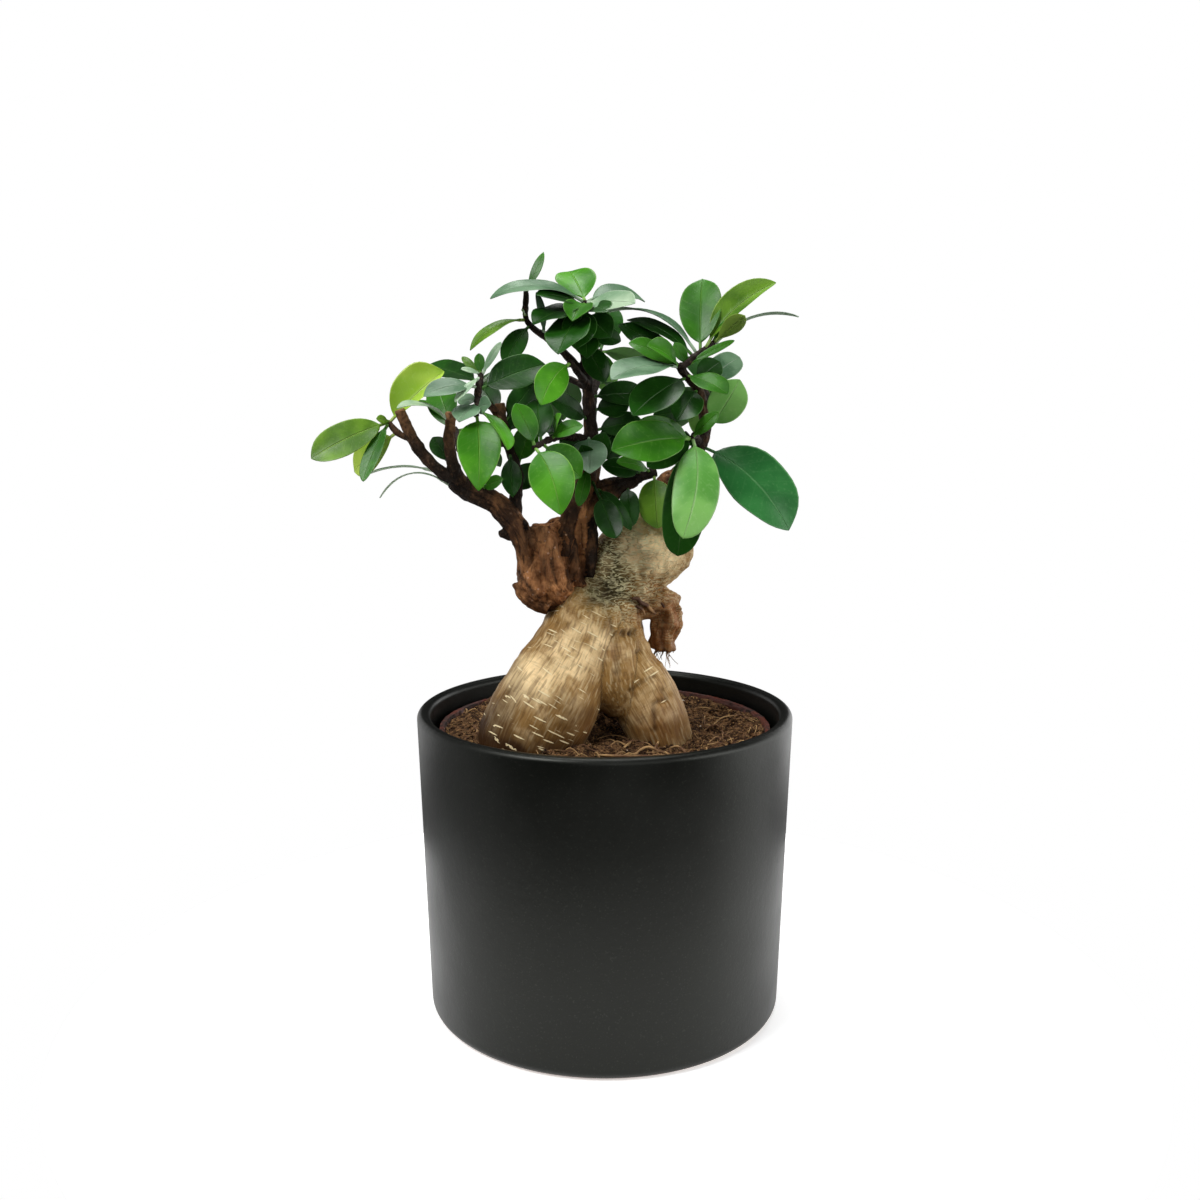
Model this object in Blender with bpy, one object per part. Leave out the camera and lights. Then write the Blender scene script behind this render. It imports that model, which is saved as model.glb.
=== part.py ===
"""A ginseng ficus bonsai in its nursery pot, standing in a ceramic cylinder pot.

Frame: +Z is up and -Y is the front. The origin is the centre of the ceramic pot's flat
underside. Every size and route below is in millimetres, and MM turns it to metres when a
mesh is made.

The plant is built as it grew. The swollen rootstock is one piece of wood. Three scions are
grafted on it, each one piece with its twigs. Every leaf, with its stalk, is a piece of its own
that starts a hair's breadth off its twig.
"""
import math

import bmesh
import bpy
import numpy as np
from mathutils import Vector, noise
from mathutils.bvhtree import BVHTree

MM = 0.001
GAP = 0.3                       # clearance between pieces that touch in the real plant

# Ceramic pot
POT_HEIGHT = 110.2
POT_RADIUS_TOP = 67.5
POT_RADIUS_FOOT = 64.2
POT_WALL = 4.8
POT_FLOOR = 6.5
POT_LIP_ROUND = 2.2
POT_FOOT_ROUND = 3.5

# Nursery pot: a thin moulded pot of 12 cm, standing on the ceramic floor
LINER_RIM_Z = 103.8
LINER_RIM_RADIUS = 59.8
LINER_BASE_RADIUS = 42.0
LINER_WALL = 0.9
LINER_COLLAR = 12.5             # height of the wider collar below the rim
LINER_STEP = 5.0                # how much narrower the wall is under the collar than the rim
LINER_LIP = 1.2                 # width and height of the lip round the rim
DRAIN_HOLES = 6
DRAIN_RADIUS = 4.0
DRAIN_CIRCLE = 28.0
DRAIN_DEPTH = 6.0               # the drill's length, which is more than the floor's thickness

# Soil
SOIL_Z = 101.2
SOIL_LUMP = 1.2
SOIL_RINGS = (0.14, 0.3, 0.46, 0.62, 0.78, 0.91, 1.0)
SOIL_SEGMENTS = 30
BIG_LUMPS = 13.0                # spacing of the soil's large and small lumps
SMALL_LUMPS = 6.0

TURN_SEGMENTS = 40              # facets round a pot
LIMB_SEGMENTS = 12              # facets round a limb, before limbs grow together

# Rootstock: limbs as routes of (x, y, z, radius)
ROOTSTOCK = {
    "left_root": [(-3, -1, 151, 11.5), (-6, -4, 141, 14.5), (-11, -7, 130, 16), (-18, -11, 118, 17.5),
                  (-24, -13, 107, 18.5), (-28, -14, 97, 17), (-30, -14, 86, 11.5), (-32, -13, 75, 5)],
    "right_root": [(2, -1, 149, 10.5), (3, -2, 138, 10.5), (7, -4, 127, 11), (13, -6, 117, 12),
                   (18, -8, 107, 11.5), (22, -9, 97, 10), (25, -9, 87, 7), (27, -9, 78, 3)],
    "web": [(-1, -2, 142, 11), (-1, -4, 131, 13), (-2, -5, 122, 9)],
    "back_root": [(1, 2, 147, 11), (3, 8, 135, 11.5), (5, 14, 122, 11), (6, 19, 110, 9.5),
                  (7, 22, 98, 7.5), (7, 24, 86, 4)],
    "crown": [(-1, 0, 144, 13), (3, 2, 153, 13.5), (10, 4, 162, 15), (15, 5, 168, 16.5),
              (18, 5, 176, 12), (19, 5, 181, 7)],
    "side_root": [(9, 0, 147, 5), (16, 2, 148, 5.2), (21, 4, 147, 5.2), (22.5, 5, 142, 5),
                  (22, 5, 136, 4.8), (21.5, 5, 130, 4.4)],
}

# Scions: each limb or twig is a route of (x, y, z, radius)
LEFT_SCION = {
    "graft": [(-15, -3, 151, 8), (-20, -5, 157, 11), (-20, -5, 166, 10.5), (-19, -5, 174, 9),
              (-19, -5, 179, 7)],
    "arm": [(-24, -8, 158, 5.5), (-26, -10, 166, 4.6), (-28, -12, 173, 4.3), (-33, -12, 181, 3.8),
            (-39, -13, 187, 2.9), (-46, -16, 191, 2.5), (-51, -19, 194, 2.3), (-56, -20, 197, 2),
            (-63, -21, 205, 1.9), (-68, -23, 217, 1.8)],
    "spur": [(-49, -18, 193, 2.4), (-51, -21, 199, 2), (-52, -22, 207, 2), (-51, -22, 216, 1.9)],
    "left_tip": [(-64, -21, 207, 1.2), (-69, -20, 209, 1.1), (-73, -18, 213, 1)],
    "upright": [(-32, -11, 178, 3.2), (-30, -10, 187, 2.4), (-29, -10, 194, 2), (-32, -10, 202, 1.9),
                (-35, -10, 211, 1.9), (-36, -10, 219, 1.8)],
    "left_head": [(-35, -11, 213, 1.3), (-39, -19, 219, 1.2), (-42, -24, 221, 1.1), (-41, -21, 229, 1)],
    "left_front": [(-42, -24, 221, 1.1), (-42, -31, 215, 1)],
    "arm_back": [(-43, -15, 190, 2), (-48, -4, 197, 1.5), (-52, 6, 204, 1.2), (-54, 14, 210, 1)],
}
CENTRE_SCION = {
    "stem": [(-9, 0, 162, 7.5), (-9, -2, 170, 7), (-9, -2, 179, 6), (-8, -1, 187, 4.8),
             (-5, 0, 197, 3.4), (-5, 0, 210, 2.4), (-6, 0, 225, 2), (-7, 0, 241, 1.5), (-7, 0, 254, 1.1)],
    "stub": [(-5, 0, 188, 3.4), (3, 0, 190, 3.2), (11, 1, 193, 2.2), (18, 2, 195, 1.9)],
    "front_shoot": [(-6, -1, 206, 1.7), (-14, -14, 208, 1.3), (-19, -27, 207, 1.1), (-23, -36, 205, 1)],
    "left_shoot": [(-7, 0, 228, 1.6), (-14, 0, 236, 1.4), (-20, 0, 241, 1.2), (-27, 0, 247, 1.1),
                   (-27, 0, 257, 1)],
    "bright_shoot": [(-6, 0, 225, 1.5), (-9, -8, 229, 1.1), (-12, -15, 233, 1)],
    "back_shoot": [(-5, 1, 210, 1.9), (-4, 12, 223, 1.4), (-2, 22, 230, 1.2), (-2, 30, 238, 1)],
    "back_left": [(-4, 12, 223, 1.3), (-14, 20, 228, 1.1), (-24, 26, 230, 1)],
}
RIGHT_SCION = {
    "limb": [(21, 6, 184, 4.5), (24, 5, 190, 3.8), (29, 3, 197, 3), (33, -1, 204, 2.4), (35, -3, 211, 2.1),
             (34, -4, 218, 1.9), (32, -6, 224, 1.6), (28, -7, 228, 1.4), (25, -8, 232, 1.2)],
    "right_front": [(33, -2, 205, 1.4), (31, -10, 208, 1.2), (29, -17, 207, 1)],
    "right_top": [(26, -8, 231, 1.2), (30, -7, 234, 1.2), (34, -5, 237, 1.1), (38, -3, 240, 1)],
    "back_right": [(33, -1, 206, 1.6), (36, 10, 212, 1.3), (38, 20, 220, 1.1), (36, 28, 226, 1)],
}

# Leaves, by the twig that carries them. A row is: tone, place along the twig (0 to 1), tip
# (x, y, z), blade width, the way the upper face looks (x, y, z), and how far the midrib bows
# up from the straight line between its ends, as a share of that line. A last number, where
# there is one, is the fold: the rise of the blade's edges as a share of its half width.
LEAVES = {
    "left_tip": [
        ("olive", 1, (-97, -27, 201), 13, (-1, -4, 2), 0.06),
        ("lime", 1, (-56, -12, 229), 17, (-1, -3, 1), 0.06, 0.5),
        ("lime", 0.6, (-85, -8, 196), 9, (0, -2, 1), 0.05),
        ("mid", 0.9, (-79, -32, 192), 7, (-1, -3, 1), 0.05),
    ],
    "arm": [
        ("pale", 0.82, (-82, -23, 195), 8, (0, 0, 1), 0.12),
    ],
    "spur": [
        ("pale", 0.9, (-66, -32, 219), 8, (0, -1, 4), 0.16),
    ],
    "left_head": [
        ("dark", 0.9, (-62, 10, 234), 14, (0, -2, 2), 0.04),
        ("dark", 0.8, (-59, -34, 222), 14, (0, -2, 2), 0.10),
        ("dark", 0.8, (-20, -18, 233), 12, (0, -2, 3), 0.08),
    ],
    "left_front": [
        ("mid", 0.4, (-50, -36, 212), 9, (-1, -3, 2), 0.05),
        ("bright", 0.65, (-31, -42, 206), 8, (2, -1, 2), 0.06),
        ("bright", 1, (-41, -44, 192), 15, (0, -4, 1), 0.08),
    ],
    "upright": [
        ("dark", 0.6, (-31, -22, 188), 8, (0, -3, 1), 0.05),
    ],
    "front_shoot": [
        ("bright", 1, (-15, -48, 185), 17, (0, -4, 1), 0.08),
        ("mid", 1, (-27, -34, 219), 9, (1, -2, 1), 0.05),
        ("mid", 0.8, (-8, -30, 195), 12, (0, -3, 1), 0.06),
    ],
    "stub": [
        ("olive", 0.95, (19, -10, 176), 12, (0, -3, -1), 0.06),
        ("dark", 0.5, (11, -12, 177), 9, (0, -3, 1), 0.10),
    ],
    "stem": [
        ("dark", 0.45, (3, -21, 173), 8, (0, -3, 1), 0.06),
        ("dark", 0.6, (-5, -24, 196), 12, (0, -2, 2), 0.05),
        ("bright", 1, (-10, 16, 266), 14, (0, -1, 1), 0.06),
        ("dark", 1, (14, 8, 254), 13, (0, -1, 2), 0.12),
        ("pale", 1, (10, -14, 252), 12, (0, -2, 2), 0.02),
        ("dark", 1, (-39, -6, 254), 10, (0, -1, 2), 0.18),
        ("dark", 0.95, (-17, -22, 235), 16, (-1, -3, 1), 0.08),
    ],
    "left_shoot": [
        ("mid", 1, (-20, 4, 271), 5, (-1, -2, 0), 0.08),
        ("mid", 0.75, (-45, -12, 237), 11, (-1, -1, 2), 0.20),
        ("olive", 0.7, (-35, -10, 231), 9, (0, -3, 1), 0.05),
    ],
    "bright_shoot": [
        ("bright", 1, (-20, -28, 218), 11, (1, -4, 1), 0.06),
    ],
    "limb": [
        ("bluish", 0.38, (63, -16, 176), 23, (2, -4, 2), 0.12),
        ("bright", 0.5, (45, 7, 229), 16, (1, -3, 1), 0.05),
        ("dark", 0.75, (24, -22, 213), 11, (0, -2, 1), 0.06),
        ("dark", 0.88, (9, -28, 215), 15, (0, -2, 2), 0.06),
        ("dark", 0.88, (41, -18, 222), 12, (0, -1, 2), 0.06),
        ("dark", 1, (2, -28, 228), 15, (0, -1, 2), 0.08),
        ("dark", 1, (5, 6, 247), 11, (0, -1, 2), 0.10),
    ],
    "right_front": [
        ("mid", 1, (2, -34, 204), 16, (0, -4, 2), 0.08),
        ("bright", 1, (28, -38, 176), 17, (0, -4, 1), 0.10),
        ("dark", 0.6, (25, -14, 167), 15, (0, -3, 0), 0.06),
    ],
    "right_top": [
        ("bright", 0.6, (41, 14, 262), 15, (-1, -3, 1), 0.05),
        ("mid", 0.7, (59, 1, 261), 12, (-2, -2, 2), 0.05),
        ("olive", 1, (45, -25, 246), 8, (0, 2, 1), 0.05),
        ("pale", 1, (66, -6, 248), 8, (0, 0, 1), 0.18),
        ("pale", 0.5, (-2, 18, 250), 9, (0, 0, 1), 0.18),
    ],
    "back_shoot": [
        ("dark", 1, (-8, 52, 250), 14, (0, 1, 2), 0.08),
        ("mid", 1, (16, 46, 232), 14, (0, 1, 3), 0.08),
        ("dark", 0.8, (-26, 42, 246), 13, (-1, 1, 3), 0.05),
    ],
    "back_left": [
        ("mid", 1, (-47, 38, 224), 14, (-1, 1, 2), 0.10),
        ("dark", 0.9, (-16, 50, 212), 15, (0, 3, 1), 0.08),
    ],
    "back_right": [
        ("mid", 1, (48, 50, 214), 15, (1, 2, 2), 0.08),
        ("dark", 1, (22, 46, 208), 14, (0, 3, 1), 0.08),
    ],
    "arm_back": [
        ("mid", 1, (-74, 28, 214), 14, (-1, 1, 2), 0.10),
        ("dark", 1, (-50, 38, 200), 13, (0, 2, 1), 0.08),
    ],
}

TONES = {
    "lime": (0.36, 0.55, 0.07),
    "bright": (0.10, 0.32, 0.03),
    "mid": (0.05, 0.20, 0.02),
    "dark": (0.015, 0.07, 0.012),
    "olive": (0.07, 0.16, 0.02),
    "pale": (0.22, 0.33, 0.18),
    "bluish": (0.03, 0.17, 0.05),
}

# Wood: the grid that limbs grow together on, rounds of smoothing, and share of facets kept
ROOT_GRID, ROOT_ROUNDS, ROOT_KEEP = 2.0, 3, 0.16
TWIG_GRID, TWIG_ROUNDS, TWIG_KEEP = 0.7, 1, 0.035
THIN_TWIG_KEEP = 0.05           # for the scion that is all thin twigs

# Finishes: base colour (linear red, green, blue) and roughness
BLACK_GLAZE = ((0.014, 0.017, 0.018), 0.45)
BROWN_PLASTIC = ((0.13, 0.035, 0.02), 0.5)
PEAT = ((0.04, 0.02, 0.01), 0.95)
PALE_BARK = ((0.42, 0.27, 0.11), 0.8)
LEFT_BARK = ((0.09, 0.04, 0.02), 0.85)
CENTRE_BARK = ((0.08, 0.04, 0.02), 0.85)
RIGHT_BARK = ((0.06, 0.035, 0.02), 0.85)
LEAF_ROUGHNESS = 0.35

LEAF_THICKNESS = 0.6
STALK_SHARE = 0.13              # the stalk's share of the leaf's whole length
STALK_RADIUS = 0.6
STALK_REACH = 1.5               # how far outside a twig a stalk looks for the bark
STALK_LIFT = 0.8                # how far its middle starts off the bark, in radii past the gap
LEAF_FOLD = 0.16                # the usual fold
MIDRIB_SHARE = 0.35             # half width of the blade's flat middle, as a share of its own
BLADE_STATIONS = (0.0, 0.14, 0.34, 0.58, 0.82, 1.0)
BLADE_RISE, BLADE_FALL = 0.65, 0.5      # how fast an oval blade widens and narrows again


# ---------------------------------------------------------------- scene and materials

def clear_scene():
    """Remove every object, so that only this model is left."""
    for thing in list(bpy.data.objects):
        bpy.data.objects.remove(thing, do_unlink=True)


def finish(name, look, metallic=0.0):
    """Return a new Principled material of a look: its base colour and roughness."""
    colour, roughness = look
    made = bpy.data.materials.new(name)
    made.use_nodes = True
    shader = made.node_tree.nodes["Principled BSDF"]
    shader.inputs["Base Color"].default_value = (*colour, 1.0)
    shader.inputs["Roughness"].default_value = roughness
    shader.inputs["Metallic"].default_value = metallic
    return made


def place_mesh(name, mesh, material):
    """Link a mesh to the scene as one named, smooth-shaded object."""
    mesh.shade_smooth()
    mesh.materials.append(material)
    thing = bpy.data.objects.new(name, mesh)
    bpy.context.collection.objects.link(thing)
    return thing


def mesh_from(name, points, faces):
    """Make a mesh from millimetre points, with its faces turned outwards."""
    mesh = bpy.data.meshes.new(name)
    mesh.from_pydata([tuple(MM * c for c in point) for point in points], [], faces)
    shell = bmesh.new()
    shell.from_mesh(mesh)
    bmesh.ops.recalc_face_normals(shell, faces=shell.faces)
    shell.to_mesh(mesh)
    shell.free()
    return mesh


# ---------------------------------------------------------------- lofts

def curve_through(route, per_span):
    """Return a smooth route through the given points, by Catmull-Rom spans."""
    knots = np.array([route[0], *route, route[-1]], dtype=float)
    knots[0] = 2 * knots[1] - knots[2]
    knots[-1] = 2 * knots[-2] - knots[-3]
    out = []
    for start in range(1, len(knots) - 2):
        a, b, c, d = knots[start - 1:start + 3]
        for step in range(per_span):
            t = step / per_span
            out.append(0.5 * (2 * b + (c - a) * t + (2 * a - 5 * b + 4 * c - d) * t ** 2
                              + (3 * b - a - 3 * c + d) * t ** 3))
    out.append(knots[-2])
    return np.array(out)


def loft(rings):
    """Return the points and faces of a closed solid through rings of equal size."""
    sides = len(rings[0])
    points = [tuple(point) for ring in rings for point in ring]
    faces = []
    for row in range(len(rings) - 1):
        for side in range(sides):
            after = (side + 1) % sides
            low = row * sides
            faces.append((low + side, low + after, low + sides + after, low + sides + side))
    faces.append(tuple(reversed(range(sides))))
    faces.append(tuple(range(len(points) - sides, len(points))))
    return points, faces


def limb_rings(route, sides, per_span=3):
    """Return the rings of a round limb along a route of (x, y, z, radius)."""
    line = curve_through(route, per_span)
    spots = [Vector(row[:3]) for row in line]
    normal = (spots[1] - spots[0]).orthogonal().normalized()
    rings = []
    for index, spot in enumerate(spots):
        ahead = spots[min(index + 1, len(spots) - 1)] - spots[max(index - 1, 0)]
        ahead.normalize()
        normal = (normal - ahead * normal.dot(ahead)).normalized()
        across = ahead.cross(normal)
        turns = [2 * math.pi * side / sides for side in range(sides)]
        radius = float(line[index][3])
        rings.append([spot + radius * (math.cos(a) * normal + math.sin(a) * across) for a in turns])
    return rings


def wood(name, limbs, look, grid=TWIG_GRID, rounds=TWIG_ROUNDS, keep=TWIG_KEEP):
    """Grow limbs together into one solid: overlap them, remesh, smooth and thin the mesh."""
    points, faces = [], []
    for route in limbs.values():
        limb_points, limb_faces = loft(limb_rings(route, LIMB_SEGMENTS))
        shift = len(points)
        points += limb_points
        faces += [tuple(shift + corner for corner in face) for face in limb_faces]
    thing = place_mesh(name, mesh_from(name, points, faces), finish(name + "_bark", look))
    remesh = thing.modifiers.new("grow_together", "REMESH")
    remesh.mode = "VOXEL"
    remesh.voxel_size = grid * MM
    smooth = thing.modifiers.new("soften", "SMOOTH")
    smooth.factor = 0.5
    smooth.iterations = rounds
    thin = thing.modifiers.new("thin", "DECIMATE")
    thin.ratio = keep
    return thing


# ---------------------------------------------------------------- pots and soil

def quarter_arc(centre, radius, start, steps=3):
    """Return points on a quarter circle that turns counter-clockwise from a start angle."""
    turns = [math.radians(start + 90 * step / steps) for step in range(steps + 1)]
    return [(centre[0] + radius * math.cos(a), centre[1] + radius * math.sin(a)) for a in turns]


def turned(name, profile, material, segments=TURN_SEGMENTS):
    """Turn a profile of (radius, z) about Z; it starts and ends on the axis."""
    points = [(0.0, 0.0, profile[0][1])]
    for radius, z in profile[1:-1]:
        for step in range(segments):
            a = 2 * math.pi * step / segments
            points.append((radius * math.cos(a), radius * math.sin(a), z))
    points.append((0.0, 0.0, profile[-1][1]))
    faces = []
    last = len(points) - 1
    for step in range(segments):
        after = (step + 1) % segments
        faces.append((0, 1 + after, 1 + step))
        for row in range(len(profile) - 3):
            low = 1 + row * segments
            faces.append((low + step, low + after, low + segments + after, low + segments + step))
        top = last - segments
        faces.append((top + step, top + after, last))
    return place_mesh(name, mesh_from(name, points, faces), material)


def make_ceramic_pot():
    """The outer pot: a slightly flared cylinder with a flat underside and a rounded lip."""
    lip = POT_LIP_ROUND
    foot = POT_FOOT_ROUND
    inner_top = POT_RADIUS_TOP - POT_WALL
    inner_foot = POT_RADIUS_FOOT - POT_WALL
    profile = [(0, 0), *quarter_arc((POT_RADIUS_FOOT - foot, foot), foot, -90)]
    profile += quarter_arc((POT_RADIUS_TOP - lip, POT_HEIGHT - lip), lip, 0)
    profile += quarter_arc((inner_top + lip, POT_HEIGHT - lip), lip, 90)
    profile += [(inner_foot, POT_FLOOR + foot), (inner_foot - foot, POT_FLOOR), (0, POT_FLOOR)]
    return turned("ceramic_pot", profile, finish("black_glaze", BLACK_GLAZE))


def liner_inner_radius(z):
    """Return the nursery pot's inner radius at a height below its collar."""
    base = LINER_BASE_RADIUS - LINER_WALL
    top = LINER_RIM_RADIUS - LINER_STEP - LINER_WALL
    low = POT_FLOOR + GAP
    return base + (top - base) * (z - low) / (LINER_RIM_Z - LINER_COLLAR - low)


def collar_radius():
    """Return the nursery pot's inner radius at the foot of its collar."""
    return LINER_RIM_RADIUS - 0.5 * LINER_STEP - LINER_WALL


def make_nursery_pot():
    """The thin growing pot: tapered wall, wider collar, turned-out lip and drain holes."""
    low = POT_FLOOR + GAP
    collar = LINER_RIM_Z - LINER_COLLAR
    wall, lip, rim, top = LINER_WALL, LINER_LIP, LINER_RIM_RADIUS, LINER_RIM_Z
    under_lip = top - lip - 0.2 * wall
    outer = [(0, low), (LINER_BASE_RADIUS - wall, low), (LINER_BASE_RADIUS, low + wall),
             (rim - LINER_STEP, collar), (collar_radius() + wall, collar + lip),
             (rim - lip, under_lip), (rim, top - lip), (rim, top)]
    inner = [(rim - lip - 0.5 * wall, top), (rim - lip - wall, under_lip),
             (collar_radius(), collar + lip + 0.6 * wall),
             (rim - LINER_STEP - wall, collar + 0.6 * wall),
             (LINER_BASE_RADIUS - wall, low + 1.2 * wall), (0, low + wall)]
    pot = turned("nursery_pot", outer + inner, finish("brown_plastic", BROWN_PLASTIC))
    drill = cutter("drain_drill", drain_mesh(low))
    cut(pot, drill)
    return pot


def drain_mesh(low):
    """Return one mesh of short upright drums, one at each drain hole."""
    shell = bmesh.new()
    for hole in range(DRAIN_HOLES):
        a = 2 * math.pi * hole / DRAIN_HOLES
        drum = bmesh.ops.create_cone(shell, cap_ends=True, segments=10, radius1=DRAIN_RADIUS * MM,
                                     radius2=DRAIN_RADIUS * MM, depth=DRAIN_DEPTH * MM)
        place = Vector((DRAIN_CIRCLE * math.cos(a), DRAIN_CIRCLE * math.sin(a), low)) * MM
        bmesh.ops.translate(shell, verts=drum["verts"], vec=place)
    mesh = bpy.data.meshes.new("drain_drill")
    shell.to_mesh(mesh)
    shell.free()
    return mesh


def cutter(name, mesh):
    """Link a mesh as a guide that only cuts and is not part of the object."""
    guide = bpy.data.objects.new(name, mesh)
    bpy.context.collection.objects.link(guide)
    guide.hide_render = True
    guide.display_type = "WIRE"
    return guide


def cut(thing, guide):
    """Cut a guide's shape out of an object."""
    step = thing.modifiers.new("cut_" + guide.name, "BOOLEAN")
    step.operation = "DIFFERENCE"
    step.solver = "EXACT"
    step.object = guide


def soil_height(x, y):
    """Return the lumpy soil's height at a place."""
    big = noise.noise(Vector((x / BIG_LUMPS, y / BIG_LUMPS, 0)))
    small = noise.noise(Vector((x / SMALL_LUMPS, y / SMALL_LUMPS, 4)))
    return SOIL_Z + SOIL_LUMP * (big + 0.5 * small)


def make_soil(root_socket):
    """Soil that fills the nursery pot, lumpy on top, with a socket for the roots."""
    room = 2 * GAP
    low = POT_FLOOR + GAP + LINER_WALL + room
    collar = LINER_RIM_Z - LINER_COLLAR
    edge = collar_radius() - room
    sides = [(liner_inner_radius(low) - 2 * room, low),
             (liner_inner_radius(collar) - room, collar + GAP),
             (edge, collar + 2 * LINER_LIP)]
    points = [(0, 0, low)]
    spin = [2 * math.pi * step / SOIL_SEGMENTS for step in range(SOIL_SEGMENTS)]
    for radius, z in sides:
        points += [(radius * math.cos(a), radius * math.sin(a), z) for a in spin]
    for share in reversed(SOIL_RINGS):
        for a in spin:
            x, y = share * edge * math.cos(a), share * edge * math.sin(a)
            points.append((x, y, soil_height(x, y)))
    points.append((0, 0, soil_height(0, 0)))
    rows = len(sides) + len(SOIL_RINGS)
    faces = []
    for step in range(SOIL_SEGMENTS):
        after = (step + 1) % SOIL_SEGMENTS
        faces.append((0, 1 + after, 1 + step))
        for row in range(rows - 1):
            base = 1 + row * SOIL_SEGMENTS
            over = base + SOIL_SEGMENTS
            faces.append((base + step, base + after, over + after, over + step))
        base = 1 + (rows - 1) * SOIL_SEGMENTS
        faces.append((base + step, base + after, len(points) - 1))
    soil = place_mesh("potting_soil", mesh_from("potting_soil", points, faces), finish("peat", PEAT))
    cut(soil, root_socket)


def socket(thing):
    """Return a guide that is an object's own shape, grown by the clearance."""
    graph = bpy.context.evaluated_depsgraph_get()
    mesh = bpy.data.meshes.new_from_object(thing.evaluated_get(graph))
    guide = cutter(thing.name + "_socket", mesh)
    swell = guide.modifiers.new("clearance", "DISPLACE")
    swell.mid_level = 0.0
    swell.strength = 2 * GAP * MM
    return guide


# ---------------------------------------------------------------- leaves

def place_on(route, share):
    """Return the point, direction and radius of a twig at a share of its length."""
    line = curve_through(route, 6)
    spot = share * (len(line) - 1)
    index = min(int(spot), len(line) - 2)
    part = spot - index
    here = line[index] * (1 - part) + line[index + 1] * part
    along = Vector(line[index + 1][:3] - line[index][:3]).normalized()
    return Vector(here[:3]), along, float(here[3])


def blade_half_width(width, share):
    """Return an oval blade's half width: wedge-shaped base, blunt tip, widest past its middle."""
    widest = BLADE_RISE / (BLADE_RISE + BLADE_FALL)
    peak = widest ** BLADE_RISE * (1 - widest) ** BLADE_FALL
    return 0.5 * width * share ** BLADE_RISE * (1 - share) ** BLADE_FALL / peak


def stalk_start(bark, route, share, tip):
    """Return the point just off the bark where a leaf's stalk starts on its way to the tip."""
    root, along, radius = place_on(route, share)
    start = (tip - root).normalized()
    if share < 1:
        start = (start - along * start.dot(along)).normalized()
    outside = root + start * (radius + STALK_REACH)
    nearest = bark.find_nearest(outside * MM)[0] / MM
    return nearest + (outside - nearest).normalized() * (GAP + STALK_RADIUS * STALK_LIFT)


def leaf_mesh(name, root, tip, width, face, bow, fold=LEAF_FOLD):
    """One leaf with its stalk: a thin oval loft along a bowed midrib."""
    chord = tip - root
    length = chord.length
    ahead = chord.normalized()
    up = Vector(face)
    up = (up - ahead * up.dot(ahead)).normalized()
    stations = [(0.0, None), (0.6 * STALK_SHARE, None)]
    stations += [(STALK_SHARE + (1 - STALK_SHARE) * blade, blade) for blade in BLADE_STATIONS]
    rings = []
    for place, blade in stations:
        centre = root + chord * place + up * (bow * length * 4 * place * (1 - place))
        tangent = (chord + up * (bow * length * 4 * (1 - 2 * place))).normalized()
        over = (up - tangent * up.dot(tangent)).normalized()
        across = tangent.cross(over)
        rings.append(leaf_ring(centre, across, over, width, fold, blade))
    return mesh_from(name, *loft(rings))


def leaf_ring(centre, across, over, width, fold, blade):
    """Return six points round a leaf: a round stalk, or a thin folded blade."""
    if blade is None:
        turns = [math.pi * step / 3 for step in range(6)]
        return [centre + STALK_RADIUS * (math.cos(a) * across + math.sin(a) * over) for a in turns]
    half = max(blade_half_width(width, blade), STALK_RADIUS)
    flat = MIDRIB_SHARE * half
    thick = 0.5 * LEAF_THICKNESS
    rise = fold * half
    spots = [(half, rise), (flat, thick), (-flat, thick), (-half, rise), (-flat, -thick), (flat, -thick)]
    return [centre + side * across + lift * over for side, lift in spots]


def make_leaves(scion, routes):
    """Make each leaf of a scion, named for its twig and its number there."""
    graph = bpy.context.evaluated_depsgraph_get()
    bark = BVHTree.FromObject(scion, graph)
    for twig in routes:
        for number, (tone, share, tip, *shape) in enumerate(LEAVES.get(twig, ()), start=1):
            name = f"{twig}_leaf_{number}"
            tip = Vector(tip)
            root = stalk_start(bark, routes[twig], share, tip)
            skin = finish(name, (TONES[tone], LEAF_ROUGHNESS))
            place_mesh(name, leaf_mesh(name, root, tip, *shape), skin)


def main():
    """Build the bonsai, from the pot up."""
    clear_scene()
    make_ceramic_pot()
    make_nursery_pot()
    rootstock = wood("rootstock", ROOTSTOCK, PALE_BARK, ROOT_GRID, ROOT_ROUNDS, ROOT_KEEP)
    root_socket = socket(rootstock)
    make_soil(root_socket)
    left = wood("left_scion", LEFT_SCION, LEFT_BARK)
    cut(left, root_socket)
    centre = wood("centre_scion", CENTRE_SCION, CENTRE_BARK)
    cut(centre, root_socket)
    cut(centre, socket(left))
    right = wood("right_scion", RIGHT_SCION, RIGHT_BARK, keep=THIN_TWIG_KEEP)
    cut(right, root_socket)
    make_leaves(left, LEFT_SCION)
    make_leaves(centre, CENTRE_SCION)
    make_leaves(right, RIGHT_SCION)


main()
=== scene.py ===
"""Dress the potted ginseng ficus bonsai: bark, leaves, soil and glaze over the fixed model.

Routes, leaf rows and sizes are in millimetres, in the model's own frame: +Z is up, -Y is the
front and the origin is the centre of the pot's underside. Meshes are made in metres.
"""
import logging
import math
from collections.abc import Sequence
from dataclasses import dataclass, field
from enum import Enum

import bpy
import numpy as np
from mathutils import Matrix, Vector
from mathutils.bvhtree import BVHTree


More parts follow.
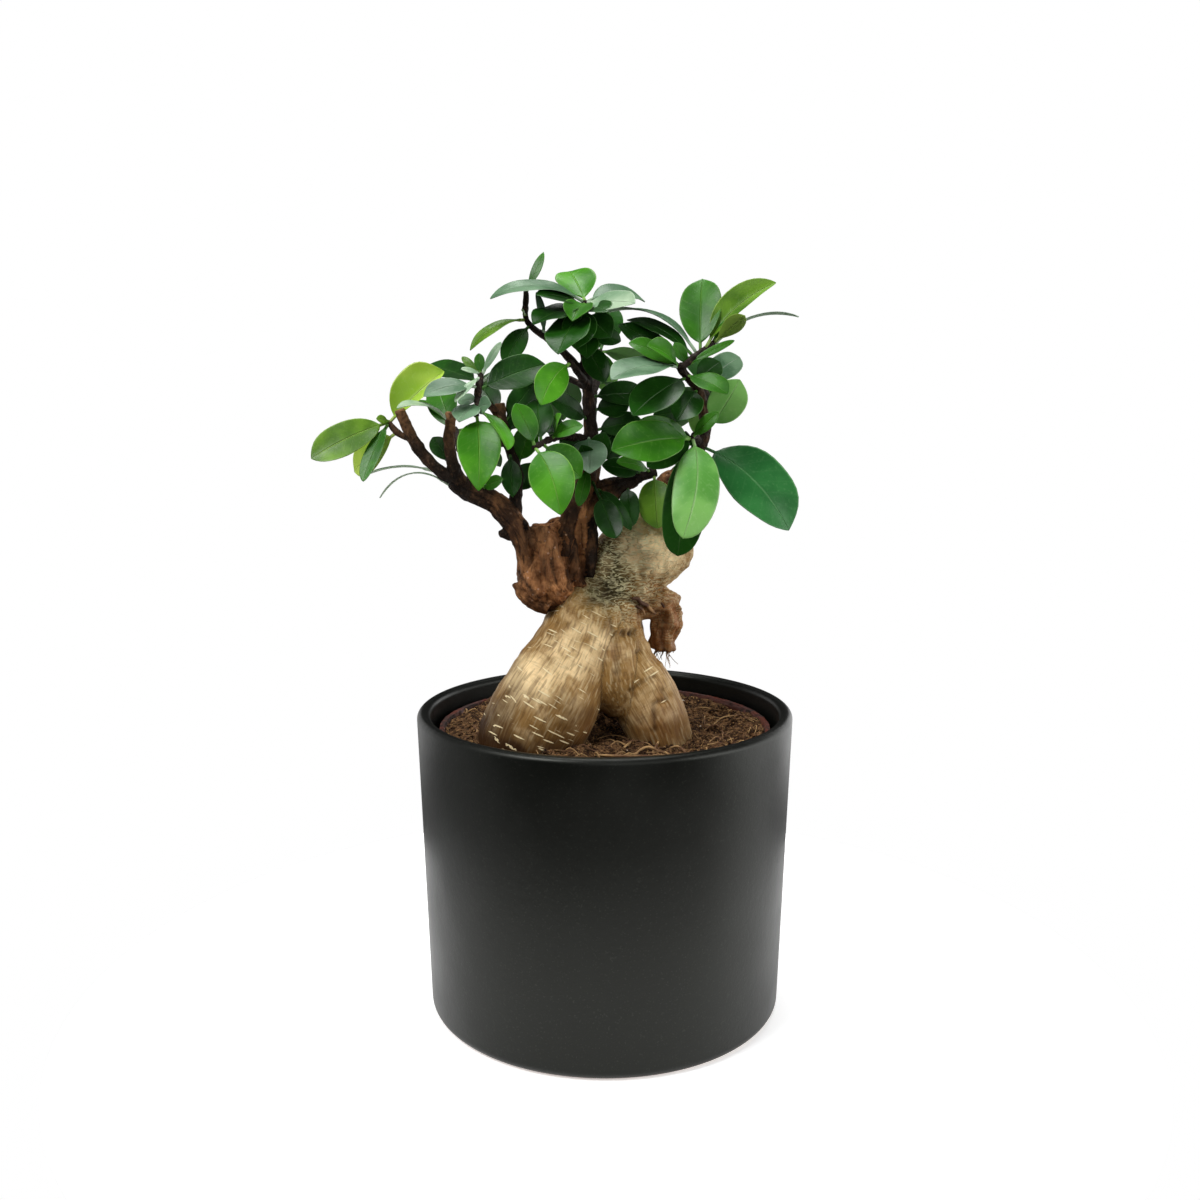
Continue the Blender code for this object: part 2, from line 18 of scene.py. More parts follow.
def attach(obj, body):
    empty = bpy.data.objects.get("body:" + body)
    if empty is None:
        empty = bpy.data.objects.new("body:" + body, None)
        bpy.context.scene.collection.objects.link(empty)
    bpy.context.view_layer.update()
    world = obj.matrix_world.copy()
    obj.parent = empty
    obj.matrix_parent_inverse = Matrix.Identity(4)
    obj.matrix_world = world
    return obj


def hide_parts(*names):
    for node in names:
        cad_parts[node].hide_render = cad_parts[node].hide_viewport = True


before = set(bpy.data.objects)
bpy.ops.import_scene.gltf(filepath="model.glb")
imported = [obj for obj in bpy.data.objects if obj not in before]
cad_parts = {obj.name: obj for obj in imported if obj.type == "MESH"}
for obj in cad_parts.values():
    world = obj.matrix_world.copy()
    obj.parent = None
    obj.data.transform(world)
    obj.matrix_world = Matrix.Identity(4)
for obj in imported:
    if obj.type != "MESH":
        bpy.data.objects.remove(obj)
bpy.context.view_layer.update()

MM = 0.001
log = logging.getLogger("bonsai")

Array = np.ndarray
Row = tuple[float, ...]
Routes = dict[str, list[Row]]
Socket = bpy.types.NodeSocket
Material = bpy.types.Material
Mesh = bpy.types.Mesh
Object = bpy.types.Object


# ---------------------------------------------------------------- colours and nodes

def linear(code: str) -> Row:
    """Turn an sRGB hex code to the linear colour that a shader takes.

    Args:
        code: six hex digits after a #.

    Returns:
        Red, green, blue and an alpha of 1.
    """
    parts = [int(code[start:start + 2], 16) / 255 for start in (1, 3, 5)]
    return (*(p / 12.92 if p <= 0.04045 else ((p + 0.055) / 1.055) ** 2.4 for p in parts), 1.0)


class Kind(Enum):
    """The nodes in use: type, inputs given in order, the output read (None for all), settings."""
    PLUS = ("Math", (0, 1), 0, {"operation": "ADD"})
    MINUS = ("Math", (0, 1), 0, {"operation": "SUBTRACT"})
    TIMES = ("Math", (0, 1), 0, {"operation": "MULTIPLY"})
    UNSIGNED = ("Math", (0,), 0, {"operation": "ABSOLUTE"})
    BELOW = ("Math", (0, 1), 0, {"operation": "LESS_THAN"})
    ZIGZAG = ("Math", (0, 1), 0, {"operation": "PINGPONG"})
    RAMP = ("MapRange", (0, 1, 2, 3, 4), 0, {"interpolation_type": "SMOOTHSTEP"})
    MIX = ("Mix", (0, 6, 7), 2, {"data_type": "RGBA"})
    PLACE = ("TexCoord", (), "Object", {})
    SCALED = ("Mapping", ("Vector", "Scale"), 0, {})
    NOISE = ("TexNoise", ("Vector", "Scale", "Detail", "Distortion"), 0, {})
    CELLS = ("TexVoronoi", ("Vector", "Scale", "Randomness"), None, {})
    AWAY = ("VectorMath", (0, 1), 0, {"operation": "SUBTRACT"})
    STRETCH = ("VectorMath", (0, 1), 0, {"operation": "MULTIPLY"})
    LENGTH = ("VectorMath", (0,), "Value", {"operation": "LENGTH"})
    AXES = ("SeparateXYZ", (0,), None, {})
    TOGETHER = ("CombineXYZ", (0, 1, 2), 0, {})
    PARTS = ("SeparateColor", (0,), None, {})
    COLOURS = ("Attribute", (), "Color", {})
    VECTORS = ("Attribute", (), "Vector", {})
    NUMBERS = ("Attribute", (), "Fac", {})
    MAP = ("UVMap", (), 0, {})
    BUMP = ("Bump", ("Height", "Distance", "Strength"), 0, {})
    SIGHT = ("LightPath", (), "Is Camera Ray", {})


class Paint:
    """A material or a world in the making: its nodes, and the shader that they feed."""

    def __init__(self, owner: Material | bpy.types.World, shader: str = "Principled BSDF",
                 **sockets: object) -> None:
        """Turn the owner's nodes on, and set the shader's own sockets.

        Args:
            owner: the material or world.
            shader: the name of its shader node.
            sockets: values for the shader's sockets, with _ for a space.
        """
        owner.use_nodes = True
        self.owner = owner
        self.tree = owner.node_tree
        self.shader = self.tree.nodes[shader]
        for key, value in sockets.items():
            self.shader.inputs[key.replace("_", " ")].default_value = value

    def add(self, kind: Kind, *inputs: object, **settings: object) -> Socket | tuple[Socket, ...]:
        """Add a node, set its properties, and fill or link its inputs.

        Args:
            kind: which node.
            inputs: numbers, vectors, hex colours or sockets, in the kind's order.
            settings: properties of the node.

        Returns:
            The output that the kind names, or all of them.
        """
        of_type, places, output, fixed = kind.value
        made = self.tree.nodes.new("ShaderNode" + of_type)
        for name, value in {**fixed, **settings}.items():
            setattr(made, name, value)
        for name, value in zip(places, inputs):
            if isinstance(value, Socket):
                self.tree.links.new(value, made.inputs[name])
            else:
                made.inputs[name].default_value = linear(value) if isinstance(value, str) else value
        return tuple(made.outputs) if output is None else made.outputs[output]

    def finished(self, **sockets: Socket) -> Material | bpy.types.World:
        """Link sockets to the shader's inputs.

        Args:
            sockets: what feeds the shader, with _ for a space.

        Returns:
            The owner, ready for use.
        """
        for key, value in sockets.items():
            self.tree.links.new(value, self.shader.inputs[key.replace("_", " ")])
        return self.owner

    def coats(self, ground: str | Socket, *layers: tuple[object, str | Socket]) -> Socket:
        """Lay colours over a ground one after another, each by its own share from 0 to 1.

        Args:
            ground: a hex colour or a socket.
            layers: pairs of a share, from 0 to 1, and a colour.

        Returns:
            The colour on top.
        """
        for share, over in layers:
            ground = self.add(Kind.MIX, share, ground, over)
        return ground

    def place(self) -> Socket:
        """Return Object coordinates in millimetres."""
        return self.add(Kind.SCALED, self.add(Kind.PLACE), (1 / MM,) * 3)

    def grain(self, where: Socket, size: Row, detail: float = 2.0, warp: float = 0.0) -> Socket:
        """Return noise round 0.5 whose spots have the given sizes in millimetres.

        Args:
            where: coordinates in millimetres.
            size: the spots' size along x, y and z.
            detail: octaves of finer noise.
            warp: how much the noise distorts itself.

        Returns:
            The noise.
        """
        scaled = self.add(Kind.SCALED, where, tuple(1 / s for s in size))
        return self.add(Kind.NOISE, scaled, 1.0, detail, warp)

    def contour(self, value: Socket, width: float) -> Socket:
        """Return 1 along the lines where a noise passes its middle, fading to 0 beside them."""
        off = self.add(Kind.UNSIGNED, self.add(Kind.MINUS, value, 0.5))
        return self.add(Kind.RAMP, off, width, width * 0.2)

    def cells(self, where: Socket, room: Row) -> tuple[Socket, tuple[Socket, ...]]:
        """Scatter one spot in each cell of the given room; return the scaled place and cells."""
        scaled = self.add(Kind.SCALED, where, tuple(1 / r for r in room))
        return scaled, self.add(Kind.CELLS, scaled, 1.0, 1.0)

    def dashes(self, where: Socket, room: Row, half: Row) -> tuple[Socket, Socket]:
        """Return short strokes that lie across the grain, each with its own lean.

        Args:
            where: coordinates in millimetres.
            room: the room each stroke has along each axis.
            half: half its size along each axis.

        Returns:
            The nearness, 0 at a stroke's middle and 1 at its rim, and the stroke's random share.
        """
        scaled, (_, colour, position, *_) = self.cells(where, room)
        away = self.add(Kind.AWAY, scaled, position)
        lot, tilt, _ = self.add(Kind.PARTS, colour)
        across, over, along = self.add(Kind.AXES, away)
        lean = self.add(Kind.TIMES, self.add(Kind.MINUS, tilt, 0.5),
                        self.add(Kind.PLUS, across, over))
        leant = self.add(Kind.PLUS, along, self.add(Kind.TIMES, lean, 1.2))
        shaped = self.add(Kind.STRETCH, self.add(Kind.TOGETHER, across, over, leant),
                          tuple(r / h for r, h in zip(room, half)))
        return self.add(Kind.LENGTH, shaped), lot


# ---------------------------------------------------------------- finishes

@dataclass(frozen=True)
class GlazedStoneware:
    """Stoneware in a matt charcoal glaze: nearly black, and softly bright at its edges."""
    deep: str = "#060705"
    bloom: str = "#0a0b09"
    speck: str = "#2a2c26"
    bisque: str = "#7a5f4c"
    foot: float = 0.7                   # the glaze stops this far above the underside
    peel: float = 2.2                   # the glaze's faint ripple
    dimple: float = 0.07                # how deep the ripple is

    def material(self) -> Material:
        """Build the material.

        Returns:
            The material.
        """
        paint = Paint(bpy.data.materials.new("matt_glazed_stoneware"), IOR=1.5,
                      Specular_IOR_Level=0.27, Specular_Tint=(0.97, 1.0, 0.92, 1))
        place = paint.place()
        cloud = paint.grain(place, (26, 26, 34), 3)
        speck = paint.grain(place, (0.7, 0.7, 0.7), 1)
        height = paint.add(Kind.AXES, place)[2]
        edge = paint.add(Kind.PLUS, height, paint.add(Kind.TIMES, cloud, 0.5))
        colour = paint.coats(
            self.deep, (paint.add(Kind.RAMP, cloud, 0.35, 0.68), self.bloom),
            (paint.add(Kind.RAMP, speck, 0.6, 0.75, 0, 0.35), self.speck),
            (paint.add(Kind.RAMP, edge, self.foot + 0.2, self.foot + 0.5, 1, 0), self.bisque))
        pits = paint.add(Kind.PLUS, paint.grain(place, (self.peel,) * 3, 2),
                         paint.add(Kind.TIMES, speck, 0.5))
        return paint.finished(Base_Color=colour,
                              Roughness=paint.add(Kind.RAMP, cloud, 0.3, 0.7, 0.36, 0.44),
                              Normal=paint.add(Kind.BUMP, pits, self.dimple * MM, 0.6))


@dataclass(frozen=True)
class MouldedPlastic:
    """Injection-moulded polypropylene of a growing pot: thin, red-brown, dulled by peat."""
    clean: str = "#5c2c20"
    dirty: str = "#2c1710"

    def material(self) -> Material:
        """Build the material.

        Returns:
            The material.
        """
        paint = Paint(bpy.data.materials.new("moulded_polypropylene"), IOR=1.49)
        dirt = paint.grain(paint.place(), (5, 5, 3), 4)
        return paint.finished(
            Base_Color=paint.coats(self.clean,
                                   (paint.add(Kind.RAMP, dirt, 0.42, 0.62), self.dirty)),
            Roughness=paint.add(Kind.RAMP, dirt, 0.4, 0.6, 0.38, 0.75),
            Normal=paint.add(Kind.BUMP, dirt, 0.1 * MM))


@dataclass(frozen=True)
class DampPeat:
    """Damp peat and bark fines: crumbly, dark brown, with paler fibres, bright specks of painted
    highlight and painted shade in the gaps.
    """
    wet: str = "#2e1b0e"
    crumb: str = "#75563a"
    fibre: str = "#bb9c66"
    # painted highlight on the raised crumbs
    crumb_highlight: str = "#ac8556"
    # painted shade in the gaps between the crumbs
    gap_shade: str = "#0e0704"

    def material(self) -> Material:
        """Build the material.

        Returns:
            The material.
        """
        paint = Paint(bpy.data.materials.new("damp_peat"), Roughness=0.95, Specular_IOR_Level=0.15)
        place = paint.place()
        clod = paint.grain(place, (3.2, 3.2, 3.2), 5)
        crumb = paint.grain(place, (0.9, 0.9, 0.9), 3)
        strand = paint.grain(place, (0.5, 3.5, 0.6), 2, 1.5)
        colour = paint.coats(self.wet, (paint.add(Kind.RAMP, clod, 0.38, 0.66), self.crumb),
                             # painted highlight on the raised crumbs, then painted shade in the
                             # gaps
                             (paint.add(Kind.RAMP, crumb, 0.57, 0.7, 0, 0.8), self.crumb_highlight),
                             (paint.add(Kind.RAMP, crumb, 0.45, 0.34, 0, 0.9), self.gap_shade),
                             (paint.add(Kind.RAMP, strand, 0.66, 0.72, 0, 0.7), self.fibre))
        height = paint.add(Kind.PLUS, clod, crumb)
        return paint.finished(Base_Color=colour, Normal=paint.add(Kind.BUMP, height, 1.2 * MM))


@dataclass(frozen=True)
class TwoTone:
    """A matt dry stuff in two tones, such as straw-brown fine roots or off-white perlite."""
    name: str
    pale: str
    dark: str
    roughness: float
    spot: float                         # size of the tones' spots
    detail: float
    change: Row                         # where the noise goes from one tone to the other

    def material(self) -> Material:
        """Build the material.

        Returns:
            The material.
        """
        paint = Paint(bpy.data.materials.new(self.name), Roughness=self.roughness)
        tone = paint.grain(paint.place(), (self.spot,) * 3, self.detail)
        return paint.finished(Base_Color=paint.coats(
            self.pale, (paint.add(Kind.RAMP, tone, *self.change), self.dark)))


def root_fibre(pale: str = "#b08c5c", dark: str = "#5f3f26") -> Material:
    """Return dried fine roots and peat fibres: matt straw brown."""
    return TwoTone("dried_root_fibre", pale, dark, 0.8, 7, 2, (0.38, 0.6)).material()


def perlite_grit() -> Material:
    """Return expanded perlite and bark chips in the peat: chalky, off-white to tan."""
    return TwoTone("perlite_grit", "#d8d0c2", "#8e6f4e", 0.9, 6, 1, (0.45, 0.55)).material()


@dataclass(frozen=True)
class SmoothBark:
    """Smooth ficus root bark: satin tan skin, fine cracks along it and pale dashes across it."""
    cream: str = "#fbdca6"
    tan: str = "#9b753e"
    brown: str = "#573615"
    # the colour of the painted shade that the shade layer lays
    crease: str = "#2a1405"
    moss: str = "#464124"
    moss_dark: str = "#302a14"
    strand: str = "#ded4a6"
    blush: str = "#8c5832"
    dash_colour: str = "#f3e0b2"
    crack: Row = (0.8, 0.8, 7.0)        # size of the fine cracks across and along
    groove: Row = (1.2, 1.2, 12.0)      # size of the broader furrows
    band: Row = (7.0, 7.0, 0.8)         # size of the fine rings round the limb
    room: Row = (7.0, 7.0, 1.9)         # the room each pale dash has, across and along
    dash: Row = (2.7, 2.7, 0.3)         # half a dash's length, and half its breadth

    def material(self) -> Material:
        """Build the material.

        Returns:
            The material.
        """
        paint = Paint(bpy.data.materials.new("smooth_ficus_bark"), IOR=1.45,
                      Specular_IOR_Level=0.25)
        add = paint.add
        place = paint.place()
        skin = add(Kind.VECTORS, attribute_name="straight")
        moss, blush, shade = add(Kind.PARTS, add(Kind.COLOURS, attribute_name="zones"))
        pale, dashed, rucked = add(Kind.PARTS, add(Kind.COLOURS, attribute_name="highlight_and_wear"))
        patch = paint.grain(place, (7, 7, 9), 7, 0.5)
        cracks = paint.grain(skin, self.crack, 1, 0.12)
        grooves = paint.grain(skin, self.groove, 2, 0.15)
        bands = paint.grain(skin, self.band, 2, 0.8)
        line = paint.contour(paint.grain(place, (4.4, 4.4, 1.5), 1.5, 0.8), 0.045)
        knots = paint.contour(paint.grain(place, (3.2, 3.2, 1.1), 1, 1.0), 0.1)
        stroke, lot = paint.dashes(skin, self.room, self.dash)
        # The pale share lightens the skin to cream: partly the bark's own pale patches, partly a
        # painted highlight.
        light = add(Kind.PLUS, patch, add(Kind.TIMES, pale, 0.35))
        smooth = add(Kind.MINUS, 1.0, add(Kind.TIMES, rucked, 0.8), use_clamp=True)
        inked = add(Kind.RAMP, add(Kind.PLUS, moss, blush), 0.1, 0.7, 0.16, 0.55)
        open_skin = add(Kind.MINUS, 1.0, add(Kind.PLUS, moss, rucked), use_clamp=True)
        chosen = add(Kind.BELOW, lot, add(Kind.PLUS, 0.06, add(Kind.TIMES, dashed, 0.8)))
        mark = add(Kind.TIMES, add(Kind.TIMES, add(Kind.RAMP, stroke, 1.0, 0.7), chosen), open_skin)
        streaks = [(add(Kind.TIMES, add(Kind.RAMP, noise, *limits), smooth), over)
                   for noise, limits, over in ((bands, (0.46, 0.3, 0, 0.2), self.brown),
                                               (grooves, (0.5, 0.34, 0, 0.16), self.brown),
                                               (cracks, (0.48, 0.34, 0, 0.42), self.brown),
                                               (cracks, (0.56, 0.7, 0, 0.3), self.dash_colour))]
        colour = paint.coats(
            self.tan, (add(Kind.RAMP, light, 0.46, 0.9), self.cream),
            (add(Kind.RAMP, light, 0.44, 0.3, 0, 0.25), self.brown), *streaks,
            (add(Kind.TIMES, moss, add(Kind.RAMP, patch, 0.62, 0.4, 0.7, 1)), self.moss),
            (add(Kind.TIMES, add(Kind.TIMES, knots, rucked), 0.8), self.strand),
            (add(Kind.TIMES, add(Kind.TIMES, line, rucked), inked), self.moss_dark),
            (add(Kind.TIMES, blush, add(Kind.RAMP, grooves, 0.7, 0.3, 0.6, 0.95)), self.blush),
            # painted shade from the shade layer, in the crease colour
            (shade, self.crease), (mark, self.dash_colour))
        fine = add(Kind.PLUS, add(Kind.TIMES, cracks, add(Kind.TIMES, smooth, 0.6)), grooves)
        rucks = add(Kind.TIMES, add(Kind.MINUS, 1.0, line), add(Kind.TIMES, rucked, 0.6))
        height = add(Kind.PLUS, add(Kind.PLUS, fine, rucks), add(Kind.TIMES, mark, 0.3))
        return paint.finished(Base_Color=colour, Normal=add(Kind.BUMP, height, 0.4 * MM),
                              Roughness=add(Kind.RAMP, grooves, 0.3, 0.7, 0.66, 0.5))


@dataclass(frozen=True)
class CorkyBark:
    """Corky bark of the grafts and twigs: red-brown where old, nearly black on the thin twigs."""
    old: str = "#7c4c29"
    old_light: str = "#c98b58"
    twig: str = "#1f140b"
    flake: str = "#6e523c"
    fissure: str = "#0f0603"
    dot: str = "#c0967a"
    cut: str = "#86603f"
    ridge: Row = (1.5, 1.5, 7.0)        # size of the ridges across and along
    pore: Row = (2.7, 2.7, 2.3)         # the room each pale pore has

    def material(self) -> Material:
        """Build the material.

        Returns:
            The material.
        """
        paint = Paint(bpy.data.materials.new("corky_graft_bark"), IOR=1.4, Specular_IOR_Level=0.3)
        add = paint.add
        place = paint.place()
        skin = add(Kind.VECTORS, attribute_name="straight")
        girth, shade, sawn = (add(Kind.NUMBERS, attribute_name=name)
                              for name in ("girth", "shade", "sawn"))
        patch = paint.grain(place, (5, 5, 7), 3)
        ridges = paint.grain(skin, self.ridge, 4, 0.6)
        flakes = paint.grain(place, (1.1, 1.1, 1.5), 3)
        aged = add(Kind.RAMP, add(Kind.PLUS, girth, add(Kind.TIMES, patch, 4.0)), 4.0, 9.5)
        fresh = add(Kind.PLUS, patch, add(Kind.TIMES, flakes, 0.3))
        wood = paint.coats(self.old, (add(Kind.RAMP, fresh, 0.5, 0.82), self.old_light))
        distance = paint.cells(place, self.pore)[1][0]
        dots = add(Kind.TIMES, add(Kind.RAMP, distance, 0.2, 0.12, 0, 0.85), aged)
        colour = paint.coats(
            self.twig, (aged, wood), (add(Kind.RAMP, flakes, 0.58, 0.7, 0, 0.35), self.flake),
            (add(Kind.RAMP, ridges, 0.48, 0.32, 0, 0.85), self.fissure),
            (add(Kind.TIMES, sawn, add(Kind.RAMP, flakes, 0.3, 0.6, 0.4, 1)), self.cut),
            (dots, self.dot), (shade, self.fissure))
        height = add(Kind.PLUS, ridges, add(Kind.TIMES, flakes, 0.7))
        return paint.finished(Base_Color=colour, Normal=add(Kind.BUMP, height, 1.2 * MM),
                              Roughness=add(Kind.RAMP, ridges, 0.3, 0.7, 0.85, 0.6))


class Tone(Enum):
    """The leaves' tones: face, lighter face, vein and underside."""
    # The lime of young leaves, lightened further as painted light shining through them.
    LIME = ("#8ab42c", "#aecb4c", "#cadb84", "#a4c050")
    BRIGHT = ("#2d6d0a", "#4f961d", "#8cba54", "#5d9036")
    MID = ("#205408", "#387614", "#74a04c", "#4f8034")
    DARK = ("#0e3006", "#1c4c0e", "#4c7a34", "#3a642c")
    # A lighter copy of the bright green: the painted sheen of a glossy leaf.
    SOFT = ("#4c8a36", "#7cb45c", "#a8c88a", "#7ba468")
    # A greyer, lighter copy of the dark green: the painted sheen of a glossy leaf.
    GREY = ("#3c5f40", "#6c8c6c", "#a3b99c", "#8da189")
    OLIVE = ("#38600f", "#6a942a", "#97b25c", "#7c963e")
    # Partly the pale of young buds, partly the painted sheen of leaves that face up to the light.
    PALE = ("#6c8f6c", "#a6bd9d", "#bfcfb6", "#abbfa4")
    BLUISH = ("#1d5a27", "#2f7036", "#6ea06a", "#4f8450")


@dataclass(frozen=True)
class LeafSkin:
    """A living ficus leaf: leathery, waxed on its face, matt and paler under it."""
    tone: Tone
    vein_pairs: float = 9.0
    mottle: float = 11.0                # size of the broad lights and darks
    pore: float = 1.2                   # size of the fine pattern

    def material(self) -> Material:
        """Build the material.

        Returns:
            The material.
        """
        face, light, vein, under = self.tone.value
        paint = Paint(bpy.data.materials.new(f"waxy_leaf_{self.tone.name.lower()}"), IOR=1.45,
                      Coat_Weight=0.05, Coat_Roughness=0.25, Specular_IOR_Level=0.24)
        add = paint.add
        along, across, _ = add(Kind.AXES, add(Kind.MAP, uv_map="blade"))
        below = add(Kind.NUMBERS, attribute_name="below")
        side = add(Kind.UNSIGNED, add(Kind.MINUS, add(Kind.TIMES, across, 2.0), 1.0))
        place = paint.place()
        mottle = paint.grain(place, (self.mottle,) * 3, 2)
        fine = paint.grain(place, (self.pore,) * 3, 2)
        midrib = add(Kind.RAMP, side, 0.055, 0.0)
        sweep = add(Kind.MINUS, add(Kind.TIMES, along, self.vein_pairs), add(Kind.TIMES, side, 1.5))
        phase = add(Kind.ZIGZAG, add(Kind.PLUS, sweep, add(Kind.TIMES, fine, 0.25)), 0.5)
        veins = add(Kind.RAMP, phase, 0.09, 0.0)
        glow = add(Kind.PLUS, mottle, add(Kind.RAMP, along, 0.2, 0.95, -0.1, 0.1))
        colour = paint.coats(
            face, (add(Kind.RAMP, glow, 0.34, 0.68, 0.1, 0.9), light),
            (add(Kind.RAMP, side, 0.3, 0.0, 0, 0.2), light),
            (add(Kind.RAMP, fine, 0.55, 0.75, 0, 0.14), vein),
            (add(Kind.TIMES, veins, 0.05), vein), (add(Kind.TIMES, midrib, 0.35), vein),
            (add(Kind.RAMP, side, 0.93, 0.99, 0, 0.6), vein),
            (add(Kind.TIMES, below, 0.85), under),
            (add(Kind.RAMP, along, 0.11, 0.07, 0, 0.7), vein))
        height = add(Kind.MINUS, add(Kind.PLUS, mottle, add(Kind.TIMES, fine, 0.12)),
                     add(Kind.PLUS, midrib, add(Kind.TIMES, veins, 0.06)))
        return paint.finished(Base_Color=colour, Normal=add(Kind.BUMP, height, 0.35 * MM, 0.8),
                              Roughness=add(Kind.RAMP, below, 0.0, 1.0, 0.34, 0.6))


@dataclass(frozen=True)
class StudioPaper:
    """A seamless white paper sweep that glows a little: painted light that lifts the plant's shadow
    on it to white.
    """
    white: str = "#fbfbfb"
    tooth: str = "#f4f4f4"

    def material(self) -> Material:
        """Build the material.

        Returns:
            The material.
        """
        paint = Paint(bpy.data.materials.new("studio_paper"), Roughness=0.9,
                      # the glow is painted light that washes out the shadows on the paper
                      Emission_Color=(1, 1, 1, 1), Emission_Strength=0.4)
        tooth = paint.grain(paint.place(), (3, 3, 3), 2)
        return paint.finished(Base_Color=paint.coats(
            self.white, (paint.add(Kind.RAMP, tooth, 0.3, 0.7, 0, 0.3), self.tooth)))


# ---------------------------------------------------------------- surfaces

@dataclass
class Shell:
    """A surface in millimetres: its points, its four-sided faces and its triangles."""
    points: Array
    quads: Array
    tris: Array

    @staticmethod
    def joined(shells: Sequence["Shell"]) -> "Shell":
        """Put several shells in one, each shell's face numbers shifted past those before it.

        Args:
            shells: the shells.

        Returns:
            One shell.
        """
        shifts = np.cumsum([0] + [len(shell.points) for shell in shells[:-1]])
        return Shell(np.concatenate([shell.points for shell in shells]),
                     np.concatenate([shell.quads + shift for shell, shift in zip(shells, shifts)]),
                     np.concatenate([shell.tris + shift for shell, shift in zip(shells, shifts)]))

    def outward(self) -> "Shell":
        """Turn the faces round if the signed volume, the sum of a . (b x c) / 6, is negative.

        Returns:
            The same shell.
        """
        tris = np.concatenate([self.tris, self.quads[:, :3], self.quads[:, [0, 2, 3]]])
        a, b, c = (self.points[tris[:, corner]] for corner in range(3))
        if np.einsum("ij,ij->", a, np.cross(b, c)) < 0:
            self.quads, self.tris = self.quads[:, ::-1], self.tris[:, ::-1]
        return self

    def mesh(self, name: str) -> Mesh:
        """Put the arrays into a smooth-shaded mesh, in metres.

        Args:
            name: the mesh's name.

        Returns:
            The mesh.
        """
        made = bpy.data.meshes.new(name)
        corners = np.concatenate([self.quads.ravel(), self.tris.ravel()]).astype(np.int32)
        starts = np.concatenate([np.arange(len(self.quads)) * 4,
                                 self.quads.size + np.arange(len(self.tris)) * 3]).astype(np.int32)
        made.vertices.add(len(self.points))
        made.vertices.foreach_set("co", (self.points * MM).astype(np.float32).ravel())
        made.loops.add(len(corners))
        made.loops.foreach_set("vertex_index", corners)
        made.polygons.add(len(starts))
        made.polygons.foreach_set("loop_start", starts)
        made.update(calc_edges=True)
        made.shade_smooth()
        return made


def loft(rings: Array) -> Shell:
    """Join closed rings to a tube, and close each end with a fan to the ring's middle.

    Args:
        rings: points as an array of ring, side and x-y-z.

    Returns:
        A closed shell that faces outwards.
    """
    rows, sides = rings.shape[:2]
    index = np.arange(rows * sides).reshape(rows, sides)
    after = np.roll(index, -1, axis=1)
    quads = np.stack([index[:-1], after[:-1], after[1:], index[1:]], axis=2).reshape(-1, 4)
    start, end = rows * sides, rows * sides + 1
    fans = [np.stack([after[0], index[0], np.full(sides, start)], axis=1),
            np.stack([index[-1], after[-1], np.full(sides, end)], axis=1)]
    middles = [rings[0].mean(axis=0), rings[-1].mean(axis=0)]
    points = np.concatenate([rings.reshape(-1, 3), middles])
    return Shell(points, quads, np.concatenate(fans)).outward()


def circle(count: int) -> Array:
    """Return points round a circle of radius 1: cos a and sin a."""
    turns = np.linspace(0, 2 * math.pi, count, endpoint=False)
    return np.stack([np.cos(turns), np.sin(turns)], axis=1)


def turned(profile: Array, segments: int) -> Shell:
    """Turn a profile of (radius, z), both ends on the axis, about Z: r cos a, r sin a, z.

    Args:
        profile: rows of (radius, z), from the axis and back to it.
        segments: how many points go round.

    Returns:
        A closed shell.
    """
    around = circle(segments)
    inner = profile[1:-1]
    flat = inner[:, None, :1] * around[None]
    heights = np.broadcast_to(inner[:, None, 1:], (*flat.shape[:2], 1))
    return loft(np.concatenate([flat, heights], axis=2))


def arc(centre: tuple[float, float], radius: float, start: float, sweep: float,
        steps: int) -> Array:
    """Return points on a circle's arc, from a start angle on through a sweep, in degrees."""
    turns = np.radians(start + sweep * np.linspace(0, 1, steps + 1))
    return np.array(centre) + radius * np.stack([np.cos(turns), np.sin(turns)], axis=1)


def smooth_route(route: Sequence[Row], per_span: int) -> Array:
    """Return a Catmull-Rom curve through a route: each span blends its four nearest points.

    Args:
        route: the points that it passes.
        per_span: how many points each span gets.

    Returns:
        The curve's points.
    """
    knots = np.array(route, dtype=float)
    knots = np.concatenate([[2 * knots[0] - knots[1]], knots, [2 * knots[-1] - knots[-2]]])
    t = np.linspace(0, 1, per_span, endpoint=False)[None, :, None]
    a, b, c, d = (knots[start:len(knots) - 3 + start, None, :] for start in range(4))
    spans = 0.5 * (2 * b + (c - a) * t + (2 * a - 5 * b + 4 * c - d) * t ** 2
                   + (3 * b - a - 3 * c + d) * t ** 3)
    return np.concatenate([spans.reshape(-1, knots.shape[1]), knots[-2:-1]])


def unit(rows: Array) -> Array:
    """Scale each row to a length of 1."""
    return rows / np.maximum(np.linalg.norm(rows, axis=-1, keepdims=True), 1e-9)


def route_frames(spots: Array) -> tuple[Array, Array, Array]:
    """Return the directions ahead, across and over at each point of a curve.

    Across is ahead x reference, where the reference is the axis that the curve runs along least.

    Args:
        spots: the curve's points.

    Returns:
        Three arrays of directions, each of length 1.
    """
    ahead = unit(np.gradient(spots, axis=0))
    reference = np.eye(3)[np.abs(ahead).max(axis=0).argmin()]
    across = unit(np.cross(ahead, reference))
    return ahead, across, np.cross(ahead, across)


